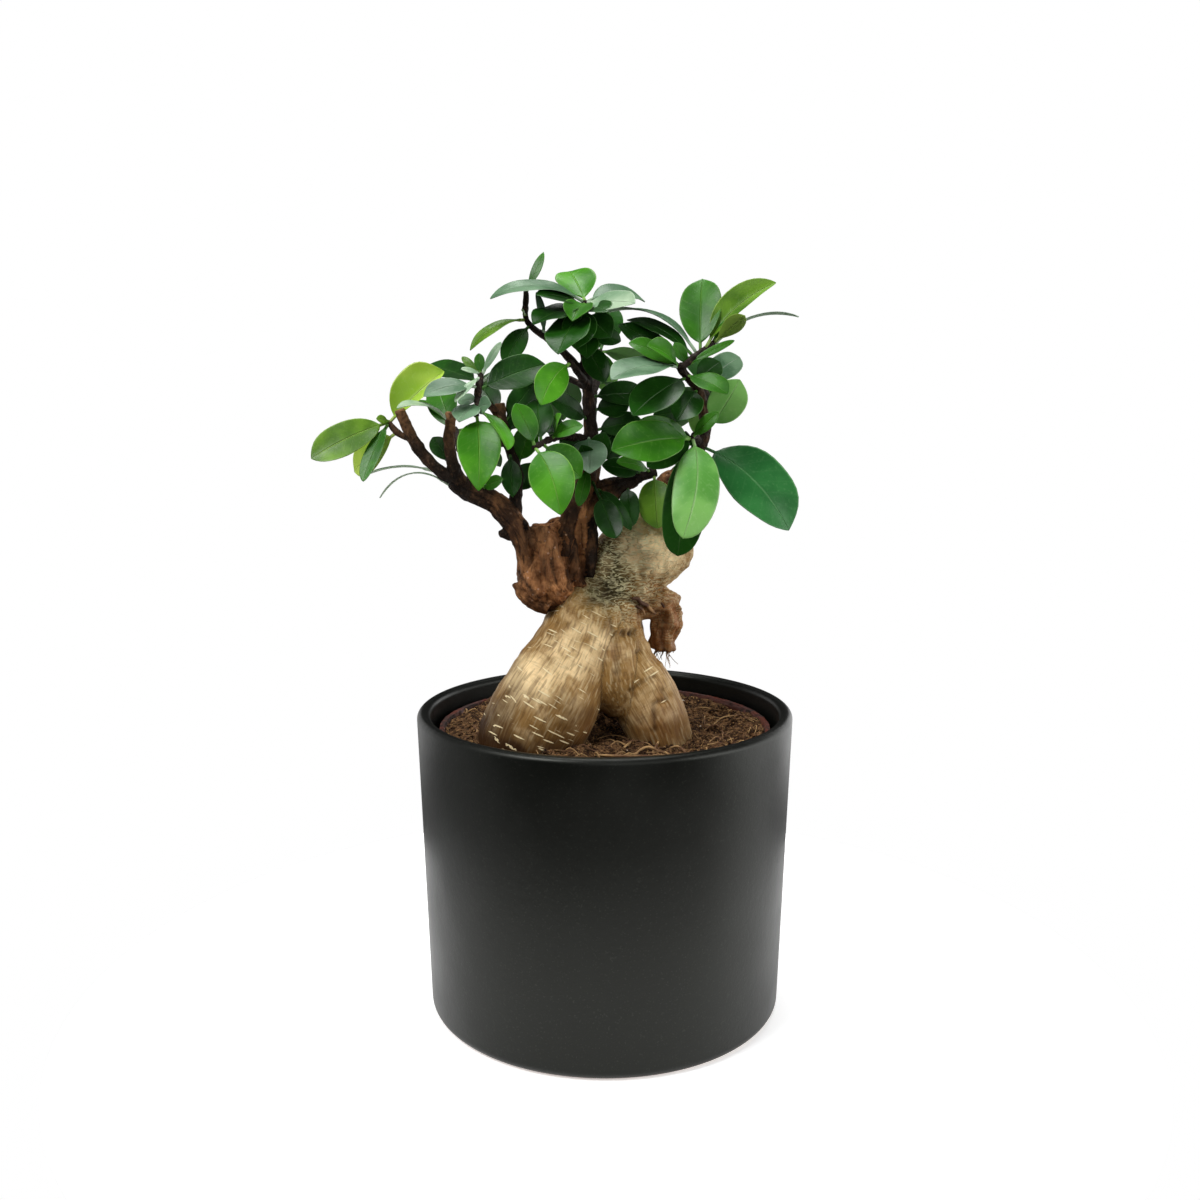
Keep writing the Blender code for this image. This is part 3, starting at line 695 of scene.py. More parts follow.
def tube(route: Sequence[Row], sides: int, per_span: int = 4) -> Shell:
    """Carry a circle along a route of (x, y, z, radius): spot + r (cos a across + sin a over).

    Args:
        route: the points that it passes, each with its radius.
        sides: how many points go round.
        per_span: how many rings each span gets.

    Returns:
        A closed shell.
    """
    line = smooth_route(route, per_span)
    _, across, over = route_frames(line[:, :3])
    x, y = circle(sides).T[:, None, :, None]
    return loft(line[:, None, :3] + line[:, None, 3:4] * (x * across[:, None] + y * over[:, None]))


HASH_AXES = np.array([73856093, 19349663, 83492791])    # large primes that spread a cell's number
HASH_MIX, HASH_SHIFT, SEED_STEP = 1274126177, 13, 17


def lattice_noise(points: Array, size: float | Row, seed: int) -> Array:
    """Smooth random values in -1 to 1: hashed values at a grid's corners, blended in each cell.

    Args:
        points: places in millimetres.
        size: the grid's spacing, one number or one for each axis.
        seed: picks the pattern.

    Returns:
        One value for each point.
    """
    spot = points / np.array(size)
    corner = np.floor(spot).astype(np.int64)
    part = spot - corner
    part = part * part * (3 - 2 * part)
    total = np.zeros(len(points))
    for step in np.ndindex(2, 2, 2):
        cell = ((corner + step + seed * SEED_STEP) & 0xFFFF) * HASH_AXES
        mixed = cell[:, 0] ^ cell[:, 1] ^ cell[:, 2]
        mixed = ((mixed ^ (mixed >> HASH_SHIFT)) * HASH_MIX) & 0xFFFFFF
        share = np.where(step, part, 1 - part).prod(axis=1)
        total += share * (mixed / 0x7FFFFF - 1)
    return total


def place_piece(name: str, mesh: Mesh, material: Material, slot: str, nodes: Sequence[str] = ()
                ) -> Object:
    """Link a finished mesh as a piece that rides on the one body.

    Args:
        name: the piece's name.
        mesh: its mesh, in place.
        material: its material.
        slot: the record's material slot; not used.
        nodes: the model's nodes that it stands for.

    Returns:
        The piece's object.
    """
    mesh.materials.clear()
    mesh.materials.append(material)
    piece = bpy.data.objects.new(name, mesh)
    bpy.context.collection.objects.link(piece)
    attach(piece, "root")
    if nodes:
        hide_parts(*nodes)
    log.info("%s: %d faces", name, len(mesh.polygons))
    return piece


def write_attribute(mesh: Mesh, name: str, values: Array) -> None:
    """Store one number, vector or colour for each point of a mesh.

    Args:
        mesh: the mesh.
        name: the attribute's name.
        values: an array of n, n x 3 or n x 4.
    """
    width = 1 if values.ndim == 1 else values.shape[1]
    kind, key = {1: ("FLOAT", "value"), 3: ("FLOAT_VECTOR", "vector"),
                 4: ("FLOAT_COLOR", "color")}[width]
    layer = mesh.attributes.new(name, kind, "POINT")
    layer.data.foreach_set(key, values.astype(np.float32).ravel())


# ---------------------------------------------------------------- wood

PER_SPAN = 5                        # points on each span of a limb's or groove's curve
LIMB_SIDES = 24
LIMB_SHIFT = 200.0                  # sets the limbs' grain apart along their length
CREASE_WIDTH = 2.0


@dataclass(frozen=True)
class Mark:
    """A dimple or knob on the bark: its place, its radius, and its height, negative for a hole."""
    place: Row
    radius: float
    height: float

    def share(self, points: Array) -> Array:
        """Return exp(-d2 / 2 r2): 1 at the mark's middle, fading to 0 round it."""
        away = ((points - np.array(self.place)) ** 2).sum(axis=1)
        return np.exp(-away / (2 * self.radius ** 2))


@dataclass(frozen=True)
class Groove:
    """A crack or a ridge along a line on the bark, with its height negative for a crack."""
    route: tuple[Row, ...]
    radius: float
    height: float

    def share(self, points: Array) -> Array:
        """Return exp(-d2 / 2 r2), where d is the distance to the line: 1 on it, 0 far from it.

        Args:
            points: places in millimetres.

        Returns:
            One share for each point.
        """
        line = smooth_route(self.route, PER_SPAN)
        away = ((points[:, None] - line[None]) ** 2).sum(axis=2).min(axis=1)
        return np.exp(-away / (2 * self.radius ** 2))


@dataclass
class Timber:
    """Limbs grown into one skin, with each point's place along and round its limb."""
    limbs: Routes
    grid: float
    rounds: int = 2
    fork: tuple[tuple[str, ...], ...] = ()
    mesh: Mesh = field(init=False)
    points: Array = field(init=False)
    normals: Array = field(init=False)
    straight: Array = field(init=False)
    girth: Array = field(init=False)
    crease: Array = field(init=False)

    def __post_init__(self) -> None:
        """Grow the limbs together on a voxel grid and measure the skin."""
        shell = Shell.joined([tube(route, LIMB_SIDES) for route in self.limbs.values()])
        rough = bpy.data.objects.new("rough_wood", shell.mesh("rough_wood"))
        bpy.context.collection.objects.link(rough)
        remesh = rough.modifiers.new("grow_together", "REMESH")
        remesh.mode = "VOXEL"
        remesh.voxel_size = self.grid * MM
        smooth = rough.modifiers.new("soften", "SMOOTH")
        smooth.factor = 0.5
        smooth.iterations = self.rounds
        grown = rough.evaluated_get(bpy.context.evaluated_depsgraph_get())
        self.mesh = bpy.data.meshes.new_from_object(grown)
        bpy.data.objects.remove(rough)
        self.measure()

    def measure(self) -> None:
        """Read the skin's points and normals, and straighten them."""
        count = len(self.mesh.vertices)
        self.points = np.empty(count * 3, dtype=np.float32)
        self.mesh.vertices.foreach_get("co", self.points)
        self.points = self.points.reshape(-1, 3).astype(float) / MM
        self.normals = np.empty(count * 3, dtype=np.float32)
        self.mesh.vertex_normals.foreach_get("vector", self.normals)
        self.normals = self.normals.reshape(-1, 3).astype(float)
        self.straighten()

    def straighten(self) -> None:
        """Give each point its place in its nearest limb, as if that limb were a straight pole.

        The nearest limb is the one where distance minus radius is least. The place is the
        offset from the limb's middle, across and over it, and the length along it. The crease
        is 1 where the limbs on either side of the fork are equally near, and 0 away from there.
        """
        best = np.full(len(self.points), np.inf)
        flanks = np.full((len(self.fork), len(self.points)), np.inf)
        self.straight = np.zeros_like(self.points)
        self.girth = np.zeros(len(self.points))
        rows = np.arange(len(self.points))
        for number, (name, route) in enumerate(self.limbs.items()):
            line = smooth_route(route, PER_SPAN)
            ahead, across, over = route_frames(line[:, :3])
            steps = np.linalg.norm(np.diff(line[:, :3], axis=0), axis=1)
            along = np.concatenate([[0], np.cumsum(steps)]) + LIMB_SHIFT * number
            gaps = np.linalg.norm(self.points[:, None] - line[None, :, :3], axis=2) - line[:, 3]
            near = gaps.argmin(axis=1)
            gap = gaps[rows, near]
            away = self.points - line[near, :3]
            place = np.stack([np.einsum("ij,ij->i", away, across[near]),
                              np.einsum("ij,ij->i", away, over[near]),
                              np.einsum("ij,ij->i", away, ahead[near]) + along[near]], axis=1)
            closer = gap < best
            best = np.where(closer, gap, best)
            self.straight[closer] = place[closer]
            self.girth[closer] = line[near, 3][closer]
            for flank, names in zip(flanks, self.fork):
                if name in names:
                    np.minimum(flank, gap, out=flank)
        gap = np.abs(flanks[0] - flanks[1]) if self.fork else np.full(len(best), np.inf)
        self.crease = np.exp(-gap / CREASE_WIDTH)

    def carve(self, height: Array) -> None:
        """Move each point out along its normal by a height in millimetres.

        Args:
            height: one number for each point, negative for inwards.
        """
        self.points = self.points + self.normals * height[:, None]
        self.mesh.vertices.foreach_set("co", (self.points * MM).astype(np.float32).ravel())
        self.mesh.update()
        self.mesh.shade_smooth()


ROOTSTOCK: Routes = {
    "left_root": [(-3, -1, 151, 11.5), (-6, -4, 141, 14.5), (-11, -7, 130, 16),
                  (-18, -11, 118, 17.5), (-24, -13, 107, 18.5), (-28, -14, 97, 17),
                  (-30, -14, 86, 11.5), (-32, -13, 75, 5)],
    "right_root": [(2, -1, 149, 10.5), (3, -2, 138, 10.5), (7, -4, 127, 11), (13, -6, 117, 12),
                   (18, -8, 107, 11.5), (22, -9, 97, 10), (25, -9, 87, 7), (27, -9, 78, 3)],
    "web": [(-1, -3, 142, 11), (0, -5.5, 131, 13), (2, -8, 123, 11.8), (4.5, -9.5, 116, 9),
            (6, -10, 110, 5)],
    "back_root": [(1, 2, 147, 11), (3, 8, 135, 11.5), (5, 14, 122, 11), (6, 19, 110, 9.5),
                  (7, 22, 98, 7.5), (7, 24, 86, 4)],
    "crown": [(-1, 0, 144, 13), (2, 2, 153, 13), (9, 4, 162, 14.3), (14.5, 5, 168.5, 16.2),
              (18, 5, 176, 12), (19, 5, 181, 7)],
    "side_root": [(9, 0, 147, 5.2), (15, 1.5, 147.5, 5.6), (20, 3.5, 147.5, 6.2),
                  (21.8, 4.5, 143, 5.6), (21.6, 5, 136, 5), (21.3, 5, 130, 4.7)],
}
LEFT_SCION: Routes = {
    "graft": [(-15, -3, 151.5, 7.5), (-19.7, -5, 157, 10.7), (-20, -5, 166, 10.5),
              (-19, -5, 173, 9), (-21, -5, 176.8, 5.4)],
    "arm": [(-24, -8, 158, 5.5), (-26, -10, 166, 4.6), (-28, -12, 173, 4.3), (-33, -12, 181, 3.8),
            (-39, -13, 187, 2.9), (-46, -16, 191, 2.5), (-51, -19, 194, 2.3), (-56, -20, 197, 2),
            (-63, -21, 205, 1.9), (-68, -23, 217, 1.8)],
    "spur": [(-49, -18, 193, 2.4), (-51, -21, 199, 2), (-52, -22, 207, 2), (-51, -22, 216, 1.9)],
    "left_tip": [(-64, -21, 207, 1.2), (-69, -20, 209, 1.1), (-73, -18, 213, 1)],
    "upright": [(-32, -11, 178, 3.1), (-30.7, -10, 187, 2.2), (-30, -10, 194, 1.8),
                (-32, -10, 202, 1.9), (-35, -10, 211, 1.9), (-36, -10, 219, 1.8)],
    "left_head": [(-35, -11, 213, 1.3), (-39, -19, 219, 1.2), (-42, -24, 221, 1.1),
                  (-41, -21, 229, 1)],
    "left_front": [(-42, -24, 221, 1.1), (-42, -31, 215, 1)],
    "arm_back": [(-43, -15, 190, 2), (-48, -4, 197, 1.5), (-52, 6, 204, 1.2), (-54, 14, 210, 1)],
}
CENTRE_SCION: Routes = {
    "stem": [(-9, 0, 162, 7.5), (-9, -2, 170, 7), (-9, -2, 179, 6), (-8, -1, 187, 4.8),
             (-5, 0, 197, 3.4), (-5, 0, 210, 2.4), (-6, 0, 225, 2), (-7, 0, 241, 1.5),
             (-7, 0, 254, 1.1)],
    "stub": [(-5, 0, 188, 3.4), (3, 0, 190, 3.2), (11, 1, 193, 2.2), (18, 2, 195, 1.9)],
    "front_shoot": [(-6, -1, 206, 1.7), (-14, -14, 208, 1.3), (-19, -27, 207, 1.1),
                    (-23, -36, 205, 1)],
    "left_shoot": [(-7, 0, 228, 1.6), (-14, 0, 236, 1.4), (-20, 0, 241, 1.2), (-27, 0, 247, 1.1),
                   (-27, 0, 257, 1)],
    "bright_shoot": [(-6, 0, 225, 1.5), (-9, -8, 229, 1.1), (-12, -15, 233, 1)],
    "back_shoot": [(-5, 1, 210, 1.9), (-4, 12, 223, 1.4), (-2, 22, 230, 1.2), (-2, 30, 238, 1)],
    "back_left": [(-4, 12, 223, 1.3), (-14, 20, 228, 1.1), (-24, 26, 230, 1)],
}
RIGHT_SCION: Routes = {
    "limb": [(21, 6, 184, 4.5), (24, 5, 190, 3.8), (29, 3, 197, 3), (33, -1, 204, 2.4),
             (35, -3, 211, 2.1), (34, -4, 218, 1.9), (32, -6, 224, 1.6), (28, -7, 228, 1.4),
             (25, -8, 232, 1.2)],
    "right_front": [(33, -2, 205, 1.4), (31, -10, 208, 1.2), (29, -17, 207, 1)],
    "right_top": [(26, -8, 231, 1.2), (30, -7, 234, 1.2), (34, -5, 237, 1.1), (38, -3, 240, 1)],
    "back_right": [(33, -1, 206, 1.6), (36, 10, 212, 1.3), (38, 20, 220, 1.1), (36, 28, 226, 1)],
}


def summed(marks: Sequence[Mark | Groove], points: Array) -> Array:
    """Return the marks' shares times their heights, summed, and 0 where there are none."""
    return sum((mark.height * mark.share(points) for mark in marks), np.zeros(len(points)))


@dataclass
class Rootstock:
    """The swollen root: smooth tan skin, wrinkled mossy crown, holes and a broken side root."""
    limbs: Routes = field(default_factory=lambda: {
        **ROOTSTOCK, "collar": [(17.5, 5, 173, 10), (19, 5.2, 179, 8.6), (20.3, 5.6, 184, 7.2),
                                (21.6, 5.9, 188.6, 5.4)]})
    grid: float = 0.7
    neck_z: float = 150.0               # height of the lumpy neck
    side_place: Row = (15.0, 140.0)     # x from which the side root is knobbly, and its height
    valley_z: float = 128.0             # painted shade darkens the crease between the two roots below this
    # the side root's broken end, which painted shade darkens
    broken: Mark = Mark((21.5, 4, 128.5), 2.6, 1.6)
    holes: tuple[Mark, ...] = (
        Mark((-1.4, -11, 155.3), 1.3, -1.6), Mark((0.6, -12, 153), 1.3, -1.6),
        Mark((-4.5, -14.2, 151.6), 0.7, -0.9), Mark((6, -13.6, 139.9), 0.8, -1.6),
        Mark((8, -10.6, 139), 0.9, -2.2))
    lumps: tuple[Mark | Groove, ...] = (
        Mark((10.5, -9.5, 140.2), 1.3, 1.3), Mark((10.8, -10, 136.6), 1.2, 1.0),
        Groove(((4, -14, 140.6), (7, -12.8, 141.2), (10, -10.5, 141)), 0.9, 1.3),
        Groove(((4.5, -14, 137.4), (7.5, -12.5, 136.6)), 0.8, 0.7),
        Mark((2.5, -16.5, 144), 2.6, 0.8), Mark((13.5, -6, 149), 2.2, 0.9),
        Mark((-8, -22, 111), 6.5, 1.6), Mark((19, -1, 151.5), 2.4, 1.0), Mark((30, 2, 167), 5, 3.0),
        Mark((-12.5, -14, 149), 2.6, 0.5), Mark((12.5, -17.5, 127), 4.5, 0.8),
        Mark((20, -17, 112), 4.5, 0.9), Mark((-22, -27, 122), 9, 0.7), Mark((29, 12, 176), 4, -1.0),
        Mark((17, 19, 172), 5, 1.2), Mark((28, 14, 166), 4, 1.1), Mark((3, 18, 162), 4, 0.9),
        Mark((24, 17, 177), 2.5, 0.9))
    cracks: tuple[Groove, ...] = (
        Groove(((0.7, -12.6, 151.4), (1.4, -15, 146.5), (2.5, -16.2, 141.4), (3.8, -17.5, 134),
                (4.3, -19, 127)), 0.7, -0.7),
        Groove(((4.3, -19, 127), (2.5, -20.5, 121), (0.5, -21.5, 116)), 0.8, -0.5),
        Groove(((4.9, -15.1, 130.2), (8.4, -14, 131.8), (12, -11.5, 133.1)), 0.5, -0.7),
        Groove(((3.9, -14.8, 125.5), (5.6, -16, 122.2), (8.4, -17.2, 120.4), (12.6, -17.1, 122.8),
                (17.2, -14.7, 124.8)), 0.55, -0.55),
        Groove(((20.3, -15.5, 120), (21.4, -16.4, 117), (17.1, -18.7, 115.7), (17.1, -19.6, 111),
                (17.4, -19.8, 106.7)), 0.6, -0.9),
        Groove(((-3.4, -9.3, 156.9), (-1.7, -12, 154.1), (0.7, -12.6, 151.4), (5, -12.5, 149.5)),
               0.6, -0.8),
        Groove(((3, -11.5, 158), (7, -11.4, 156), (9.5, -10.8, 152)), 0.5, -0.6),
        Groove(((12.3, -8.4, 151.4), (14, -6, 146), (12.5, -6, 142)), 0.7, -0.9),
        Groove(((17, -2, 145), (19.5, -1.8, 146.5), (22, -1.8, 143)), 0.7, -0.8),
        Groove(((21, 0, 141), (20.5, 0, 135), (21.5, 0.3, 130)), 0.6, -0.6),
        Groove(((6, 14, 157), (13, 19, 162.5), (21, 20.3, 168), (29, 14, 171.5)), 0.7, -0.8),
        Groove(((10, 14, 149), (5, 16, 152), (-2, 14, 155)), 0.7, -0.8))
    moss: tuple[Mark, ...] = (
        Mark((-3, -6, 165), 5.5, 1.8), Mark((-1, -12, 155), 3.8, 1.3),
        Mark((5, -11.5, 155), 3.4, 0.7), Mark((-6, -15, 149), 3, 0.25), Mark((3, -9, 171), 4, 0.25),
        Mark((4, -11, 162), 4, 0.35))
    rucks: tuple[Mark, ...] = (
        Mark((8, -8, 167), 12, 1.2), Mark((10, -9, 153), 6, 0.8), Mark((21.5, 2, 146), 8, 0.7),
        Mark((27, 13, 168), 8, 0.7), Mark((9, 15, 153), 7, 0.7),
        Mark((21.5, 2, 136), 6, 0.5))
    blush: tuple[Mark, ...] = (
        Mark((21, 1, 146), 5.5, 1.1), Mark((22, 3, 134), 6, 1.3), Mark((2, -16.5, 133.6), 2.2, 0.4),
        Mark((-7, -23, 108), 5, 0.5), Mark((20, -17, 109), 6, 0.5), Mark((12, -5, 146), 3.5, 0.6),
        Mark((17, -8.5, 156), 4, 0.35))
    # Pale patches: partly the bark's own, partly a painted highlight on the left root's middle and
    # the crown's upper right.
    pale: tuple[Mark, ...] = (
        Mark((-13, -21.6, 135), 4.5, 0.8), Mark((-24, -26, 125), 5.5, 1.0),
        Mark((-29, -21, 128), 4.5, 0.8), Mark((-2.4, -18.8, 138.4), 4, 0.5),
        Mark((12.5, -5, 177), 4.5, 1.0), Mark((17.5, -10, 171), 5, 0.9),
        Mark((15, -2, 180), 5, 1.0), Mark((6, -16, 128), 3, 0.3), Mark((-6, -21, 128), 5, 0.3),
        Mark((11, -9, 168), 6, 0.9), Mark((19, -7, 164), 5, 0.8), Mark((-4, -15, 146), 4, 0.15),
        Mark((16, -17, 112), 6, 0.4), Mark((-12, -24, 124), 6, 0.4))
    dashes: tuple[Mark, ...] = (
        Mark((-15, -17, 143), 6, 1.3), Mark((-9, -20, 137), 6, 1.1), Mark((-6, -16, 149), 5, 1.1),
        Mark((-20, -31, 108), 8, 1.1), Mark((-35, -27, 107), 8, 1.0),
        Mark((-13, -28, 115), 5.5, 0.9), Mark((-28, -28, 116), 6, 0.6))

    def build(self) -> Object:
        """Grow, carve and colour the rootstock.

        Returns:
            The piece.
        """
        wood = Timber(self.limbs, self.grid, rounds=6, fork=(("left_root",), ("right_root", "web")))
        wood.carve(self.relief(wood))
        write_attribute(wood.mesh, "straight", wood.straight)
        write_attribute(wood.mesh, "zones", self.zones(wood))
        write_attribute(wood.mesh, "highlight_and_wear", self.highlight_and_wear(wood))
        return place_piece("rootstock_bark", wood.mesh, SmoothBark().material(), "pale_bark",
                           ["rootstock"])

    def relief(self, wood: Timber) -> Array:
        """Sum the bulges, wrinkles and rucks, the side root's knobs, the marks and the fork.

        Args:
            wood: the grown limbs.

        Returns:
            A height in millimetres for each point.
        """
        spots, (x, _, z) = wood.points, wood.points.T
        bulge = 0.6 * lattice_noise(spots, 15, 3) + 0.3 * lattice_noise(spots, 7, 5)
        rings = 0.16 * lattice_noise(wood.straight, (9, 9, 2.2), 7)
        ribs = 0.12 * lattice_noise(wood.straight, (2.0, 2.0, 16), 9)
        rucked = np.clip(summed(self.rucks, spots), 0, 1)
        swirl = spots + 2.5 * lattice_noise(spots, 5, 2)[:, None]
        rucks = rucked * (0.7 * lattice_noise(swirl, 2.6, 11) + 0.3 * lattice_noise(spots, 1.6, 12))
        neck = np.exp(-((z - self.neck_z) / 6) ** 2) * 0.9 * lattice_noise(spots, 3.0, 13)
        side_x, side_z = self.side_place
        side = np.clip((x - side_x) / 4, 0, 1) * np.exp(-((z - side_z) / 13) ** 4)
        knobs = side * (1.8 * lattice_noise(spots, 3.4, 15) + 1.0 * lattice_noise(spots, 1.8, 17))
        marks = summed(self.holes + self.lumps + self.cracks, spots)
        return bulge + rings + ribs + rucks + neck + knobs + marks - 0.2 * wood.crease

    def zones(self, wood: Timber) -> Array:
        """Return how mossy, how red and how much painted shade the skin has, and an alpha of 1.

        Args:
            wood: the carved limbs.

        Returns:
            An array of n x 4.
        """
        spots, (x, _, z) = wood.points, wood.points.T
        wobble = lattice_noise(spots, 6, 21)
        # Painted shade: the skin darkens towards the bottom and the left edge, in the holes and
        # cracks, along the crease between the roots and at the broken end.
        lower_darkening = np.clip((123 + 5 * wobble - z) / 22, 0, 1) * np.where(x < 5, 0.85, 0.5)
        edge = np.clip((-26 + 3 * wobble - x) / 14, 0, 0.3)
        holes = sum(mark.share(spots) for mark in self.holes)
        cracks = 0.55 * sum(groove.share(spots) for groove in self.cracks)
        broken = self.broken.height * self.broken.share(spots)
        valley = np.clip((self.valley_z - z) / 12, 0, 1)
        shade = lower_darkening + edge + holes + cracks + 0.45 * wood.crease ** 2 * valley + broken
        layers = [summed(self.moss, spots) + 0.15 * wobble, summed(self.blush, spots), shade]
        return np.stack([*np.clip(layers, 0, 0.94), np.ones(len(shade))], axis=1)

    def highlight_and_wear(self, wood: Timber) -> Array:
        """Return how pale, partly a painted highlight, how dashed and how rucked the skin is, and
        an alpha of 1.
        """
        layers = [summed(marks, wood.points) for marks in (self.pale, self.dashes, self.rucks)]
        return np.stack([*np.clip(layers, 0, 1), np.ones(len(wood.points))], axis=1)


@dataclass
class Rootlets:
    """Twisted rootlets on the neck, and the hairs at the side root's broken end."""
    twists: tuple[tuple[Row, ...], ...] = (
        ((9.5, -10.4, 151.5, 0.5), (11.5, -9.4, 151.2, 0.7), (12.7, -8.6, 149.7, 0.75),
         (14.6, -6.2, 148.6, 0.7), (16.2, -4.6, 146.6, 0.7), (18, -3.4, 144.8, 0.45)),
        ((11, -8.6, 148.6, 0.4), (13.2, -7, 147, 0.55), (14, -5.8, 145, 0.4)),
        ((17.5, -3.2, 150.2, 0.4), (19.5, -3, 149.4, 0.55), (21, -2.8, 147.4, 0.5),
         (21, -2, 145.4, 0.35)))
    end: Row = (21.5, 4.5, 129.8)
    hairs: int = 22
    seed: int = 5

    def build(self) -> None:
        """Lay the twists, and hang the hairs from the broken end."""
        rng = np.random.default_rng(self.seed)
        shells = [tube(route, 8) for route in self.twists]
        for _ in range(self.hairs):
            turn, reach = rng.uniform(0, 2 * math.pi), rng.uniform(1.0, 4.2)
            start = self.end + np.array((reach * math.cos(turn), reach * math.sin(turn),
                                         rng.uniform(-0.6, 1.0)))
            fall = rng.uniform(1.5, 7.0) * np.array((rng.normal(0, 0.35), rng.normal(0, 0.35), -1))
            shares = np.linspace(0, 1, 4)[:, None]
            sway = rng.normal(0, 0.5, (4, 3)) * shares
            line = np.concatenate([start + fall * shares + sway, 0.16 - 0.08 * shares], axis=1)
            shells.append(tube(line, 5))
        mesh = Shell.joined(shells).mesh("rootlets")
        place_piece("rootlets", mesh, root_fibre("#a07a50", "#4c2f1b"), "pale_bark")


@dataclass
class Scion:
    """One graft with its twigs: corky skin, ribs along it, knots, and cut ends."""
    name: str
    limbs: Routes
    slot: str
    burls: Routes = field(default_factory=dict)
    knots: tuple[Mark, ...] = ()
    cracks: tuple[Groove, ...] = ()
    cuts: tuple[Mark, ...] = ()
    grid: float = 0.5
    rib: float = 0.3

    def build(self) -> Object:
        """Grow, carve and colour the scion.

        Returns:
            The piece.
        """
        wood = Timber({**self.limbs, **self.burls}, self.grid, rounds=1)
        spots = wood.points
        thick = np.clip((wood.girth - 1) / 6, 0, 1)
        ribs = self.rib * (0.4 + 1.6 * thick) * lattice_noise(wood.straight, (2.4, 2.4, 11), 31)
        lumps = 0.5 * lattice_noise(spots, 2.7, 34) + 0.8 * lattice_noise(spots, 4.8, 35)
        rough = (0.15 + 0.2 * thick) * lattice_noise(spots, 1.5, 33) + thick * lumps
        nodes = 0.35 * np.clip(lattice_noise(wood.straight, (30, 30, 2.6), 37) - 0.1, 0, 1)
        wood.carve(ribs + rough + nodes * (1 - thick) + summed(self.knots + self.cracks, spots))
        shade = sum((crack.share(wood.points) for crack in self.cracks), np.zeros(len(wood.points)))
        write_attribute(wood.mesh, "straight", wood.straight)
        write_attribute(wood.mesh, "girth", wood.girth)
        write_attribute(wood.mesh, "shade", np.clip(0.85 * shade, 0, 0.85))
        write_attribute(wood.mesh, "sawn", np.clip(summed(self.cuts, wood.points), 0, 1))
        return place_piece(f"{self.name}_bark", wood.mesh, CorkyBark().material(), self.slot,
                           [self.name])


# ---------------------------------------------------------------- leaves

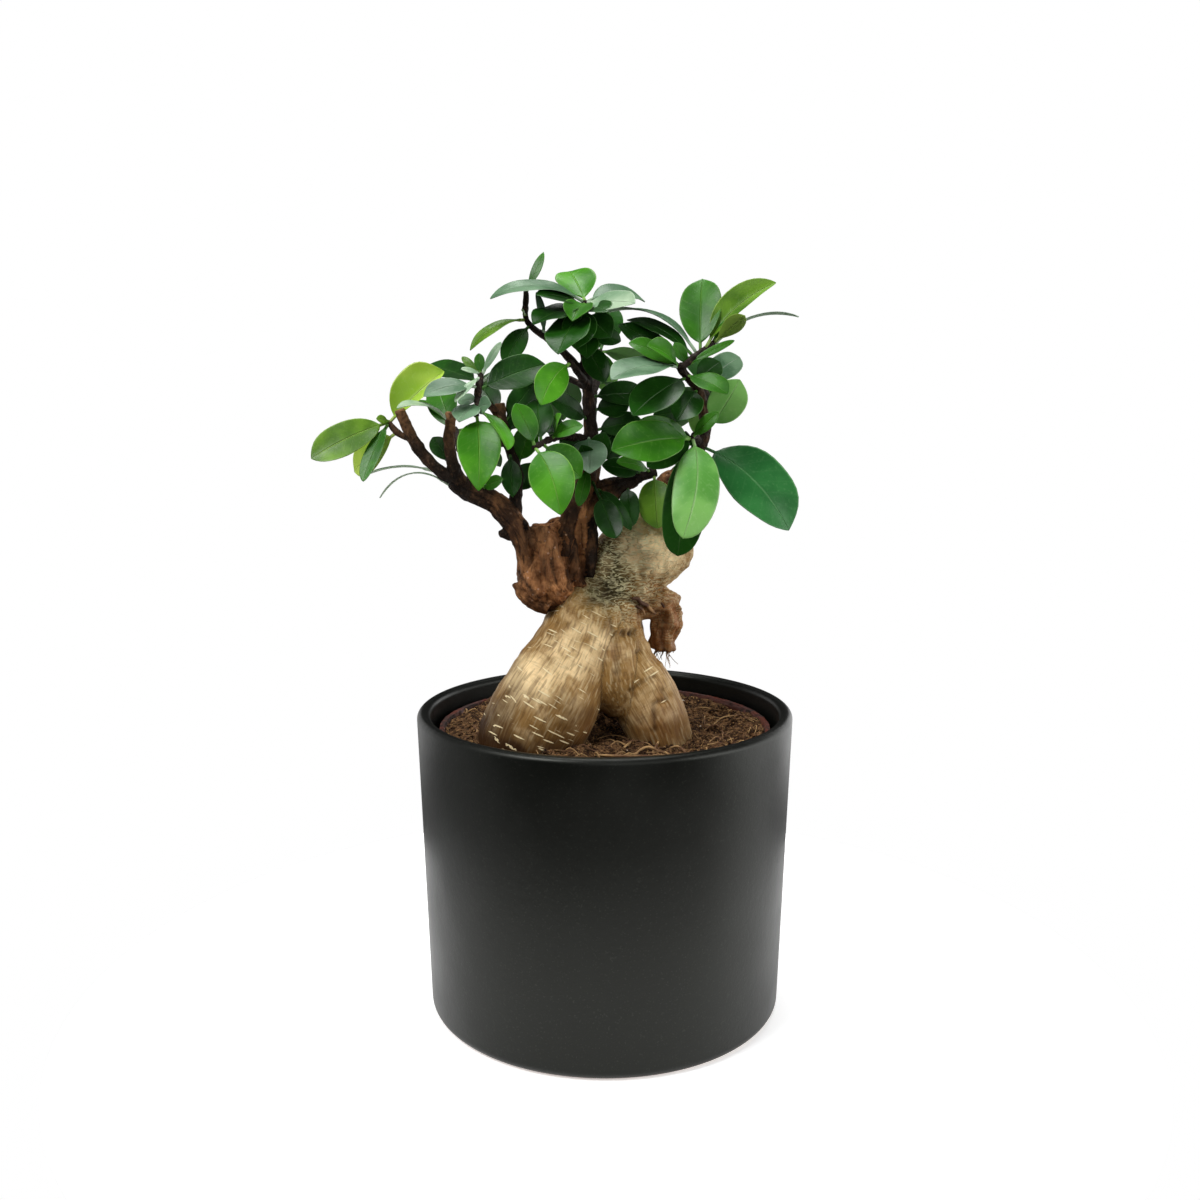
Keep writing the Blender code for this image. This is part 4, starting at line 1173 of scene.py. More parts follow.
# A row is: tone, place along the twig, tip, width, the way the face looks, bow, and the leaf's
# other measures where they aren't the usual ones. The fixed model has these leaves too, with
# rows that differ a little.
LEAVES: dict[str, list[tuple]] = {
    "left_tip": [
        ("olive", 1, (-97, -27, 201), 13.2, (-1, -4, 2), 0.06, {"fullness": 1.1, "point": 1.6}),
        ("lime", 1, (-54, -15, 229.5), 14.6, (-0.32, -0.82, 0.48), 0.04,
         {"fold": 0.8, "widest": 0.58, "fullness": 1.1, "point": 1.6}),
        ("lime", 0.6, (-86.5, -8, 195.5), 12, (0, -2, 1), 0.05),
        ("mid", 0.9, (-79.2, -32, 193.8), 6.2, (-1, -3, 1), 0.05),
    ],
    "arm": [
        ("pale", 0.79, (-81.5, -24, 194.5), 6, (0, 0, 1), 0.10),
    ],
    "spur": [
        ("pale", 0.9, (-67.5, -32, 217.5), 8, (0, -1, 4), 0.16),
    ],
    "left_head": [
        ("dark", 0.9, (-63, 9, 232), 11, (0, -2, 2), 0.02, {"fullness": 1.3}),
        ("dark", 0.8, (-58.5, -34, 221.3), 9.5, (0, -1.6, 2), 0.10,
         {"skin": "grey", "fullness": 1.7}),
        ("dark", 0.8, (-20, -18, 231.8), 13.5, (0, -3, 2), 0.05, {"fullness": 1.2}),
    ],
    "left_front": [
        ("mid", 0.4, (-47, -36, 213.2), 10, (-1, -3, 2), 0.05, {"skin": "grey"}),
        ("bright", 0.65, (-31, -42, 204.5), 9, (2, -1, 2), 0.06, {"fold": 0.4}),
        ("bright", 1, (-40.3, -44, 191.7), 14.4, (0, -4, 1), 0.08,
         {"widest": 0.4, "fullness": 1.35, "bend": -0.03, "point": 1.1}),
    ],
    "upright": [
        ("dark", 0.6, (-31, -22, 188), 7.2, (0, -3, 1), 0.05, {"fullness": 1.7}),
    ],
    "front_shoot": [
        ("bright", 1, (-14.2, -48, 184.4), 14.8, (0, -4, 1), 0.08,
         {"bend": -0.06, "fullness": 1.3, "point": 1.1, "widest": 0.48}),
        ("mid", 1, (-29, -34, 219), 8.8, (1, -2, 1), 0.05),
        ("mid", 0.8, (-8, -30, 195), 12, (0, -3, 1), 0.06),
    ],
    "stub": [
        ("olive", 0.95, (18.3, -10, 176), 12.5, (0, -3, -1), 0.06, {"fullness": 1.0, "point": 2.0}),
        ("dark", 0.5, (9, -13, 177), 7, (0, -3, 1), 0.14, {"fullness": 1.0, "point": 2.0}),
    ],
    "stem": [
        ("dark", 0.45, (3.7, -24, 174.3), 9, (0, -3, 1), 0.06,
         {"stalk_share": 0.4, "fullness": 1.0, "point": 2.0}),
        ("dark", 0.6, (-5, -24, 196), 12.5, (0, -2, 2), 0.05, {"skin": "grey", "fullness": 1.25}),
        ("bright", 1, (-12.6, 16, 265), 14.6, (0, -1, 1), 0.06, {"fold": 0.3, "fullness": 1.1}),
        ("dark", 1, (14, 8, 254), 14.5, (0, -1, 2), 0.14, {"skin": "grey"}),
        ("pale", 1, (10, -14, 252), 12, (0, -2, 2), 0.02),
        ("dark", 1, (-39, -6, 254), 10, (0, -1, 2), 0.16, {"skin": "grey"}),
        ("dark", 0.95, (-15.5, -22, 235), 15, (-1, -3, 1), 0.08, {"wave": 0.12}),
    ],
    "left_shoot": [
        ("mid", 1, (-21.2, 4, 270.4), 3.8, (-1, -2, 0), 0.08, {"bend": 0.06, "fullness": 1.7}),
        ("mid", 0.75, (-45.5, -12, 236.6), 6.5, (-1, -1.6, 1.7), 0.13,
         {"skin": "olive", "fullness": 1.7}),
        ("olive", 0.7, (-34, -10, 232), 8, (0, -3, 1), 0.05,
         {"skin": "dark", "fullness": 1.3, "bend": 0.03}),
    ],
    "bright_shoot": [
        ("bright", 1, (-21, -28, 218.5), 11, (1, -4, 1), 0.06, {"bend": 0.08, "fullness": 1.3}),
    ],
    "limb": [
        ("bluish", 0.38, (62.8, -16, 176), 25.2, (2, -4, 2), 0.12,
         {"widest": 0.53, "fullness": 1.15, "bend": -0.02, "point": 1.6}),
        ("bright", 0.5, (46.3, -6, 227), 13.8, (1.2, -1.8, 1.4), 0.05,
         {"fold": 0.1, "fullness": 1.05, "skin": "soft", "point": 1.8}),
        ("dark", 0.75, (24, -22, 213), 11, (0, -2, 1), 0.06, {"fullness": 1.25}),
        ("dark", 0.88, (9, -28, 215), 15, (0, -2, 2), 0.06, {"fullness": 1.3}),
        ("dark", 0.88, (41, -18, 222), 12, (0, -1, 2), 0.06, {"skin": "mid"}),
        ("dark", 1, (2, -28, 226.6), 15, (0, -1, 2), 0.08, {"skin": "grey", "fullness": 1.3}),
        ("dark", 1, (5, 6, 246.2), 12, (0, -1, 2), 0.05, {"wave": 0.12}),
    ],
    "right_front": [
        ("mid", 1, (2, -34, 204), 16, (0, -4, 2), 0.08, {"fullness": 1.3, "wave": 0.1}),
        ("bright", 1, (25.2, -38, 175.8), 15.5, (0, -4, 1), 0.10,
         {"fullness": 0.95, "widest": 0.5, "bend": -0.07, "fold": -0.15, "point": 2.2,
          "skin": "soft"}),
        ("dark", 0.6, (25, -14, 167), 15, (0, -3, 0), 0.06, {"fullness": 1.0, "point": 2.0}),
    ],
    "right_top": [
        ("bright", 0.6, (34.2, 9, 261.8), 15, (-0.75, -3, 0.05), 0.05,
         {"skin": "mid", "fullness": 1.1}),
        ("mid", 0.7, (58.8, 0, 259.8), 11.5, (-0.6, -1.4, 1.4), 0.05,
         {"fold": 0.6, "fullness": 1.6, "bend": -0.07, "skin": "olive"}),
        ("olive", 1, (46, -20, 247.5), 6.2, (0.4, 1.4, 0.6), 0.05, {"fullness": 1.6}),
        ("pale", 1, (66, -6, 248), 8, (0, 0, 1), 0.15, {"skin": "grey"}),
        ("pale", 0.5, (-2, 18, 250), 9, (0, 0, 1), 0.17, {"skin": "grey"}),
    ],
    "back_shoot": [
        ("dark", 1, (-8, 52, 250), 14, (0, 1, 2), 0.08),
        ("mid", 1, (16, 46, 232), 14, (0, 1, 3), 0.08, {"widest": 0.6}),
        ("dark", 0.8, (-26, 42, 246), 13, (-1, 1, 3), 0.05, {"fullness": 1.7}),
    ],
    "back_left": [
        ("mid", 1, (-47, 38, 224), 14, (-1, 1, 2), 0.10, {"widest": 0.48}),
        ("dark", 0.9, (-16, 50, 212), 15, (0, 3, 1), 0.08, {"fullness": 1.25}),
    ],
    "back_right": [
        ("mid", 1, (48, 50, 214), 15, (1, 2, 2), 0.08, {"fullness": 1.3, "fold": 0.4}),
        ("dark", 1, (22, 46, 208), 14, (0, 3, 1), 0.08, {"widest": 0.6}),
    ],
    "arm_back": [
        ("mid", 1, (-72.5, 28, 220), 14, (-1, 1, 2), 0.10, {"fullness": 1.7}),
        ("dark", 1, (-50, 38, 200), 13, (0, 2, 1), 0.08, {"skin": "bright", "widest": 0.46}),
    ],
}

# Small leaves and buds that the fixed model leaves out, in rows of the same kind.
SMALL_LEAVES: dict[str, list[tuple]] = {
    "left_tip": [
        ("olive", 1, (-76, -22, 214), 3.4, (0, -2, 1), 0.05),
    ],
    "arm": [
        ("pale", 0.67, (-77, -14, 187), 3, (0, 0, 1), 0.25),
        ("mid", 0.72, (-56.8, -16, 206.4), 2.8, (0, -2, 1), 0.05),
        ("mid", 0.5, (-34.3, -20, 193.8), 5, (0, -2, 1), 0.06),
    ],
    "spur": [
        ("dark", 0.35, (-58.2, -16, 207.6), 6.5, (0, -2, 1), 0.05),
    ],
    "left_head": [
        ("pale", 1, (-48.4, -34, 219.5), 3.2, (0, -1, 2), 0.05),
        ("pale", 1, (-47.4, -24, 230.2), 2.6, (0, -2, 2), 0.05),
        ("mid", 1, (-41.8, -20, 235.3), 3.6, (0, -2, 1), 0.05),
        ("pale", 1, (-34.4, -20, 239), 2.8, (0, -2, 1), 0.05),
        ("olive", 1, (-47.6, -18, 234.2), 2.8, (0, -2, 1), 0.05),
        ("pale", 0.9, (-25, -6, 233.4), 4, (0, -1, 3), 0.08),
        ("grey", 0.6, (-48.8, -22, 219.4), 6, (0, -2, 2), 0.06),
    ],
    "front_shoot": [
        ("mid", 0.6, (-7.3, -26, 211.7), 7, (0, -2, 2), 0.12),
        ("bright", 0.5, (-14.5, -28, 215.6), 5, (0, -2, 2), 0.10),
        ("dark", 0.3, (-20.3, -16, 211.7), 9, (0, -2, 1), 0.06),
        ("dark", 0.8, (-22.7, -20, 220.4), 10, (0, -2, 1), 0.06),
        ("dark", 0.5, (-20, -8, 214), 9, (0, -2, 1), 0.06),
    ],
    "stem": [
        ("mid", 0.5, (-9, -12, 184), 5, (0, -2, 1), 0.06),
        ("dark", 0.42, (9, -14, 176), 5, (0, -2, 1), 0.20),
        ("dark", 0.97, (-24, -14, 245), 14, (-1, -2, 3), 0.08, {"wave": 0.12}),
        ("dark", 0.97, (-10, -16, 237), 12, (0, -3, 1), 0.08),
        ("dark", 0.85, (0, -12, 226), 9, (0, -3, 1), 0.08),
        ("mid", 1, (-11, -16, 246), 10, (0, -2, 2), 0.06, {"fold": 0.5}),
        ("dark", 0.95, (2, -8, 241), 11, (0, -3, 1), 0.06),
        ("dark", 0.66, (-19, -14, 220.5), 9, (0, -2, 1), 0.06),
        ("dark", 0.5, (-15.5, -12, 207), 9, (0, -2, 1), 0.08),
        ("dark", 0.68, (8.5, 4, 218.5), 9, (0, -3, 1), 0.06),
        ("dark", 0.58, (6.5, 5, 209), 8, (0, -3, 1), 0.08),
        ("dark", 0.72, (14.5, 10, 222), 10, (0, -2, 1), 0.06),
        ("mid", 0.8, (3.2, 2, 232), 8, (0, -3, 1), 0.06, {"fullness": 1.7}),
        ("dark", 0.98, (-23.2, -10, 255), 9, (-1, -2, 2), 0.08),
        ("dark", 0.97, (1, -14, 249), 10, (0, -2, 2), 0.08),
        ("dark", 0.52, (13, 6, 210), 9, (0, -3, 1), 0.08),
        ("dark", 0.9, (-6, -10, 234), 9, (0, -3, 1), 0.06, {"fullness": 1.7}),
        ("dark", 0.5, (-8, -16, 205), 7, (0, -3, 1), 0.08),
        ("dark", 0.62, (13.1, 2, 212.7), 9, (0, -3, 1), 0.06),
        ("dark", 0.56, (9, 6, 210), 10, (0, -3, 1), 0.06),
        ("dark", 0.9, (5.5, -2, 240), 7, (0, -3, 1), 0.06),
        ("dark", 0.5, (0, -6, 209), 8, (0, -3, 1), 0.06),
    ],
    "left_shoot": [
        ("grey", 0.55, (-23.3, -6, 256.2), 2.8, (0, -2, 0), 0.03, {"bend": 0.05}),
        ("olive", 0.8, (-28.5, -4, 250.5), 1.8, (0, -2, 1), 0.05),
    ],
    "right_front": [
        ("dark", 0.8, (14, -24, 198), 10, (0, -3, 1), 0.08),
        ("mid", 1, (10, -24, 212), 9, (0, -3, 1), 0.08),
        ("dark", 0.5, (18, -12, 203), 10, (0, -3, 1), 0.08),
        ("mid", 0.9, (38, -18, 216), 5, (0, -2, 1), 0.06),
        ("dark", 0.7, (27, -12, 206), 8, (0, -3, 1), 0.06),
    ],
    "limb": [
        ("grey", 0.75, (48, 12, 235), 10, (0, -3, 1), 0.05),
        ("dark", 0.8, (40, 0, 233), 9, (0, -3, 1), 0.05),
        ("mid", 1, (8, -12, 239), 9, (0, -2, 2), 0.08),
        ("mid", 1, (14, -16, 238), 10, (0, -2, 2), 0.10, {"fold": 0.4}),
        ("mid", 0.9, (44, -8, 240), 3, (0, -2, 1), 0.05),
        ("dark", 0.6, (17, 6, 214), 9, (0, -3, 1), 0.06),
        ("mid", 0.95, (23.5, -8, 239.2), 4.5, (0, -3, 1), 0.06),
    ],
    "right_top": [
        ("dark", 0.4, (8, 12, 248), 8, (0, -1, 2), 0.10),
        ("mid", 1, (42, -4, 247), 3, (0, -2, 1), 0.05),
    ],
    "back_shoot": [
        ("dark", 0.5, (8, 30, 222), 12, (1, 1, 2), 0.08),
        ("mid", 0.6, (-14, 36, 232), 12, (-1, 1, 3), 0.08),
        ("dark", 1, (2, 44, 256), 12, (1, 1, 3), 0.08),
        ("bright", 0.9, (2, 46, 222), 10, (0, 3, 1), 0.10),
    ],
    "back_left": [
        ("dark", 0.6, (-32, 18, 214), 12, (-1, 0, 3), 0.08),
        ("mid", 1, (-28, 42, 229), 12, (-1, 1, 3), 0.08),
        ("dark", 0.5, (-14, 34, 214), 11, (0, 2, 2), 0.08),
    ],
    "back_right": [
        ("mid", 0.6, (49, 24, 221), 12, (1, 0, 3), 0.08),
        ("dark", 0.9, (34, 48, 236), 13, (0, 1, 2), 0.08),
        ("mid", 0.5, (22, 30, 224), 12, (0, 1, 3), 0.08),
        ("bright", 0.8, (36, 42, 206), 10, (0, 3, 1), 0.10),
    ],
    "arm_back": [
        ("dark", 0.6, (-38, 16, 196), 11, (0, 1, 2), 0.08),
        ("mid", 0.9, (-62, 30, 226), 12, (-1, 1, 2), 0.08),
    ],
    "upright": [
        ("dark", 0.85, (-24, -4, 225.8), 9, (0, -2, 1), 0.06),
        ("dark", 0.75, (-26, -2, 219.3), 9, (0, -2, 1), 0.06),
        ("mid", 0.5, (-25, -10, 211.6), 9, (0, -3, 1), 0.06),
        ("dark", 0.25, (-25, -6, 198.5), 9, (0, -3, 1), 0.06),
        ("dark", 0.9, (-43.5, 2, 225), 9, (0, -2, 1), 0.05),
    ],
    "left_front": [
        ("grey", 0.6, (-36.8, -34, 218.9), 6.5, (0, -3, 1), 0.06),
    ],
    "stub": [
        ("dark", 0.75, (-1, -8, 197.8), 7, (0, -3, 1), 0.08),
        ("mid", 0.9, (4, -12, 199), 6, (0, -3, 2), 0.08),
    ],
}


@dataclass
class Leaf:
    """A leaf with its stalk: an oval blade, folded along a bowed midrib, a little waved."""
    root: Array
    tip: Array
    width: float
    face: Row
    bow: float
    fold: float = 0.16
    bend: float = 0.0                   # the midrib's swing sideways, as a share of its length
    widest: float = 0.54                # where along the blade it is widest
    point: float = 1.5                  # how fast the blade may widen behind its tip
    fullness: float = 1.2               # low for a blunt, full blade, and high for a pointed one
    wave: float = 0.0
    thickness: float = 0.45
    stalk_share: float = 0.1
    stalk_radius: float = 0.55

    STALK_STATIONS = np.array([0.0, 0.35, 0.7])
    BLADE_STATIONS = np.array([0.0, 0.03, 0.07, 0.12, 0.18, 0.25, 0.33, 0.41, 0.5, 0.58, 0.66, 0.74,
                               0.81, 0.87, 0.92, 0.96, 0.985, 1.0])
    ACROSS = np.array([1.0, 0.95, 0.84, 0.68, 0.48, 0.28, 0.12, 0.0, -0.12, -0.28, -0.48, -0.68,
                       -0.84, -0.95])

    def half_width(self, share: Array, length: float) -> Array:
        """Return w/2 s^a (1-s)^b over its peak, kept in the tip's wedge; a + b is the fullness.

        Args:
            share: places along the blade, from 0 to 1.
            length: the leaf's length.

        Returns:
            Half the width at each place.
        """
        rise, fall = self.fullness * self.widest, self.fullness * (1 - self.widest)
        peak = self.widest ** rise * (1 - self.widest) ** fall
        oval = 0.5 * self.width * share ** rise * (1 - share) ** fall / peak
        wedge = self.point * length * (1 - share) + 0.3
        return oval * wedge / (oval ** 4 + wedge ** 4) ** 0.25

    def section(self) -> tuple[Array, Array]:
        """Return a ring's offsets across (1 to -1 on the face and back under it) and over.

        Returns:
            The offsets across and the offsets over.
        """
        across = np.concatenate([self.ACROSS, -self.ACROSS])
        over = np.sqrt(1 - self.ACROSS ** 2)
        return across, np.concatenate([over, -over])

    def shell(self) -> tuple[Shell, Array, Array]:
        """Loft the sections along the midrib.

        The midrib is root + chord t + (up bow + aside bend) 4 length t (1 - t). A section's point
        is the midrib plus across times the half width, plus over times the half thickness, plus
        the fold and the wave, which lift the margins.

        Returns:
            The shell, each point's place on the blade (along, across), and 1 for points below.
        """
        stalk = self.STALK_STATIONS * self.stalk_share
        blade = self.stalk_share + (1 - self.stalk_share) * self.BLADE_STATIONS
        t = np.concatenate([stalk, blade])[:, None]
        share = np.concatenate([np.zeros(len(stalk)), self.BLADE_STATIONS])
        chord = self.tip - self.root
        length = np.linalg.norm(chord)
        ahead = chord / length
        up = np.array(self.face, dtype=float)
        up = unit(up - ahead * up.dot(ahead))
        swing = 4 * length * (up * self.bow + np.cross(ahead, up) * self.bend)
        middle = self.root + chord * t + swing * t * (1 - t)
        tangent = unit(chord + swing * (1 - 2 * t))
        over = unit(up - tangent * (tangent @ up)[:, None])
        across = np.cross(tangent, over)
        half = np.maximum(self.half_width(share, length),
                          np.where(share > 0.9, 0.12, self.stalk_radius))
        body = np.where(share > 0,
                        np.maximum(self.thickness / 2, self.stalk_radius * (1 - share * 8)),
                        self.stalk_radius)
        side, lift = self.section()
        margin = np.abs(side) ** 1.5
        half, share = half[:, None], share[:, None]
        ripple = self.wave * np.sin(9 * share + 4 * self.wave * np.sign(side)) * side ** 2 * half
        raised = self.fold * half * margin * (share > 0) + ripple
        rings = (middle[:, None] + across[:, None] * (half * side)[..., None]
                 + over[:, None] * (body[:, None] * lift + raised)[..., None])
        made = loft(rings)
        along = np.broadcast_to(t, (len(t), len(side))).ravel()
        place = np.stack([along, np.tile((side + 1) / 2, len(t))], axis=1)
        below = np.tile(np.clip(0.5 - 4 * lift, 0, 1), len(t))
        place = np.concatenate([place, [[0, 0.5], [1, 0.5]]])
        return made, place, np.concatenate([below, [0.5, 0.5]])

    def mesh(self, name: str) -> Mesh:
        """Make the leaf's mesh, with its map of the blade.

        Args:
            name: the mesh's name.

        Returns:
            The mesh.
        """
        shell, place, below = self.shell()
        mesh = shell.mesh(name)
        write_attribute(mesh, "below", below)
        corners = np.empty(len(mesh.loops), dtype=np.int32)
        mesh.loops.foreach_get("vertex_index", corners)
        blade = mesh.uv_layers.new(name="blade")
        blade.data.foreach_set("uv", place[corners].astype(np.float32).ravel())
        return mesh


SCIONS: tuple[Scion, ...] = (
    Scion("left_scion", LEFT_SCION, "left_bark", burls={
        "stump": [(-18, -9, 157, 5.2), (-20, -9.6, 168, 5.2), (-21, -9.4, 174, 4.9),
                  (-21.2, -9.2, 177.4, 4)],
        "bulb": [(-28.1, -7, 157.6, 4.6), (-25.4, -8, 152.6, 4.8), (-18.9, -9.4, 149.4, 4.3)],
        "arm_under": [(-27, -11, 171, 3.2), (-33, -12, 178.9, 3.0), (-39, -13, 185, 2.5),
                      (-46, -16, 188, 2.4), (-52, -19, 192.2, 1.9)],
        "lip": [(-14, -9, 157, 4.5), (-12.5, -8, 166, 3.6), (-13, -7, 173, 3)],
        "horn_left": [(-33, -12, 174, 2), (-35.2, -13, 174.6, 1.6), (-36.5, -13, 174.2, 1.2)],
        "horn_right": [(-27.5, -12, 174, 2), (-26.8, -14, 177.5, 1.6), (-27, -14, 179, 1.2)],
        "snag": [(-34.5, -12, 205, 1.8), (-35.5, -15, 209, 2.3), (-37, -17, 214, 2.2)],
    }, knots=(
        Mark((-21, -15, 162), 3.0, 0.6), Mark((-16.5, -14, 155), 2.0, 0.8),
        Mark((-24, -14, 154), 2.0, 0.7), Mark((-16, -14.8, 154.2), 0.7, -1.4),
        Mark((-20.4, -14, 151.6), 0.8, -1.2), Mark((-20, -9, 177.5), 3.2, -1.2),
        Mark((-27, -13, 157), 2.2, 0.9), Mark((-23, -15, 153), 1.6, 0.8),
    ), cracks=(
        Groove(((-26.5, -14.6, 177), (-25.4, -14.6, 170.3), (-24, -15.2, 164.2),
                (-21.5, -16, 158.1)), 1.5, -3.0),
        Groove(((-16, -12.2, 178), (-14.4, -12.6, 171.8), (-13, -12.4, 165.5), (-11, -12, 160.1),
                (-8.5, -9, 156.8)), 1.5, -3.0),
        Groove(((-30.1, -9.3, 160.6), (-26.2, -14.6, 156), (-21.9, -14.2, 151.4)), 0.9, -1.2),
        Groove(((-20.5, -15.2, 174), (-18.6, -15.4, 166), (-17, -15, 160)), 0.5, -0.7),
    ), cuts=(
        Mark((-68, -23, 217), 3.2, 1), Mark((-66, -22, 212), 4, 0.4), Mark((-51, -22, 216), 3.2, 1),
        Mark((-52, -22, 209), 4.5, 0.5), Mark((-37, -17, 212), 3.2, 0.9),
        Mark((-36, -10, 219), 2.5, 0.8), Mark((-20, -13, 170), 5, 0.45),
        Mark((-20, -13, 160), 5, 0.3), Mark((-16.1, -14.6, 153.7), 0.6, 2),
        Mark((-11.2, -13.4, 154.9), 0.6, 2))),
    Scion("centre_scion", CENTRE_SCION, "centre_bark", burls={
        "ridge_left": [(-12.5, -6.5, 160, 2.6), (-12.8, -6.8, 170, 2.9), (-11.5, -5.4, 180, 2.4),
                       (-9.5, -3, 187, 2)],
        "ridge_right": [(-5.6, -7, 158.5, 2.2), (-5, -6.6, 168, 2.7), (-4.8, -4.8, 179, 2.4),
                        (-3, -2.5, 187, 2)],
        "foot": [(-9, -2.5, 166, 6.2), (-8, -4, 159, 5), (-6.5, -4.5, 155, 3.5)],
        "shoulder": [(-13.5, -7.5, 166, 3.0), (-13.6, -7, 173, 3.5), (-12, -5.5, 180, 3.5),
                     (-8.4, -3, 188, 3.2), (-6, -1, 194, 2.6)],
        "buttress": [(-7.7, -3.5, 176, 4.2), (-2.6, -2.5, 184, 4.0), (4.5, -1, 189.2, 3.0),
                     (11, 0.6, 192.2, 2.2)],
    }, knots=(
        Mark((-9, -8, 184), 1.8, 0.7), Mark((-1, -4, 190), 1.5, 0.8),
        Mark((-5, -9.5, 164), 1.4, 0.7),
    ), cracks=(
        Groove(((-7.7, -8, 177.5), (-8.6, -8.4, 170.4), (-7.7, -8.2, 163.2), (-6.8, -8.4, 157.8)),
               1.1, -2.2),
        Groove(((-2.6, -7.4, 172), (-2.8, -8, 164)), 0.6, -0.7),
    )),
    Scion("right_scion", RIGHT_SCION, "right_bark", burls={
        "union": [(20.4, 5.8, 181, 5.6), (21.6, 5.8, 186.4, 5.8), (23.4, 5.2, 190, 4.7),
                  (25.6, 4.4, 192.6, 3.8)],
    }, knots=(
        Mark((34, -4, 217), 1.4, 0.7), Mark((30, -6, 226), 1.2, 0.6)),
        cuts=(Mark((33, -4, 219), 4, 0.5),)),
)


@dataclass
class Foliage:
    """The leaves of one scion, each seated on the bark of its twig."""
    bark: Object
    limbs: Routes
    skins: dict[str, Material]
    reach: float = 1.5                  # how far outside a twig a stalk looks for the bark
    bite: float = 0.5                   # how far its end sits in the bark

    def __post_init__(self) -> None:
        """Make the tree that finds the nearest bark."""
        self.finder = BVHTree.FromObject(self.bark, bpy.context.evaluated_depsgraph_get())

    def seat(self, twig: str, share: float, tip: Array) -> Array:
        """Return where a stalk leaves the bark on its way to the leaf's tip.

        Args:
            twig: the twig's name.
            share: the place along the twig, from 0 to 1.
            tip: the leaf's tip.

        Returns:
            A point just inside the bark.
        """
        line = smooth_route(self.limbs[twig], 6)
        spot = share * (len(line) - 1)
        index = min(int(spot), len(line) - 2)
        here = line[index] + (line[index + 1] - line[index]) * (spot - index)
        along = unit(line[index + 1, :3] - line[index, :3])
        start = unit(tip - here[:3])
        if share < 1:
            start = unit(start - along * start.dot(along))
        outside = here[:3] + start * (here[3] + self.reach)
        nearest = np.array(self.finder.find_nearest(Vector(outside * MM))[0]) / MM
        return nearest - unit(outside - nearest) * self.bite

    def grow(self, twig: str, number: int, row: tuple, small: bool) -> None:
        """Make one leaf from its row, on its twig.

        Args:
            twig: the twig's name.
            number: the leaf's number on its twig.
            row: its measures, as in LEAVES.
            small: whether the fixed model leaves it out.
        """
        tone, share, tip, width, face, bow, *shape = row
        tip = np.array(tip, dtype=float)
        fifths = (number * 7 + len(twig) * 3) % 5       # leaves side by side wave differently
        measures = {"wave": 0.03 + 0.05 * fifths / 5, **dict(*shape)}
        skin = measures.pop("skin", tone)
        leaf = Leaf(self.seat(twig, share, tip), tip, width, face, bow, **measures)
        name = f"{'small_' if small else ''}leaf_{twig}_{number}"
        place_piece(name, leaf.mesh(name), self.skins[skin],
                    f"{'pale' if tone == 'grey' else tone}_leaf",
                    [] if small else [f"{twig}_leaf_{number}"])

    def build(self) -> None:
        """Make every leaf of the scion."""
        for twig in self.limbs:
            for number, row in enumerate(LEAVES.get(twig, ()), start=1):
                self.grow(twig, number, row, small=False)
            for number, row in enumerate(SMALL_LEAVES.get(twig, ()), start=1):
                self.grow(twig, number, row, small=True)


# ---------------------------------------------------------------- pots and soil

@dataclass
class CeramicPot:
    """The glazed outer pot: a slightly flared cylinder with a rounded lip and foot."""
    height: float = 110.2
    top: float = 67.5
    foot: float = 64.2
    wall: float = 4.8
    floor: float = 6.5
    lip_round: float = 2.2
    foot_round: float = 3.5
    segments: int = 160

    def profile(self) -> Array:
        """Join the foot's arc, the wall, the two arcs of the lip, and the inside.

        Returns:
            Rows of (radius, z).
        """
        inner_top = self.top - self.wall
        inner_foot = self.foot - self.wall
        lip, foot = self.lip_round, self.foot_round
        wall = np.linspace((self.foot, foot), (self.top, self.height - lip), 14)[1:-1]
        inside = np.linspace((inner_top, self.height - lip), (inner_foot, self.floor + foot), 8)[1:]
        return np.concatenate([
            [(0, 0), (self.foot - foot - 2, 0)], arc((self.foot - foot, foot), foot, -90, 90, 8),
            wall,
            arc((self.top - lip, self.height - lip), lip, 0, 90, 8),
            arc((inner_top + lip, self.height - lip), lip, 90, 90, 8)[1:], inside,
            [(inner_foot - foot, self.floor), (0, self.floor)]])

    def build(self) -> Object:
        """Turn the pot.

        Returns:
            The piece.
        """
        mesh = turned(self.profile(), self.segments).mesh("ceramic_pot_glaze")
        return place_piece("ceramic_pot_glaze", mesh, GlazedStoneware().material(), "black_glaze",
                           ["ceramic_pot"])


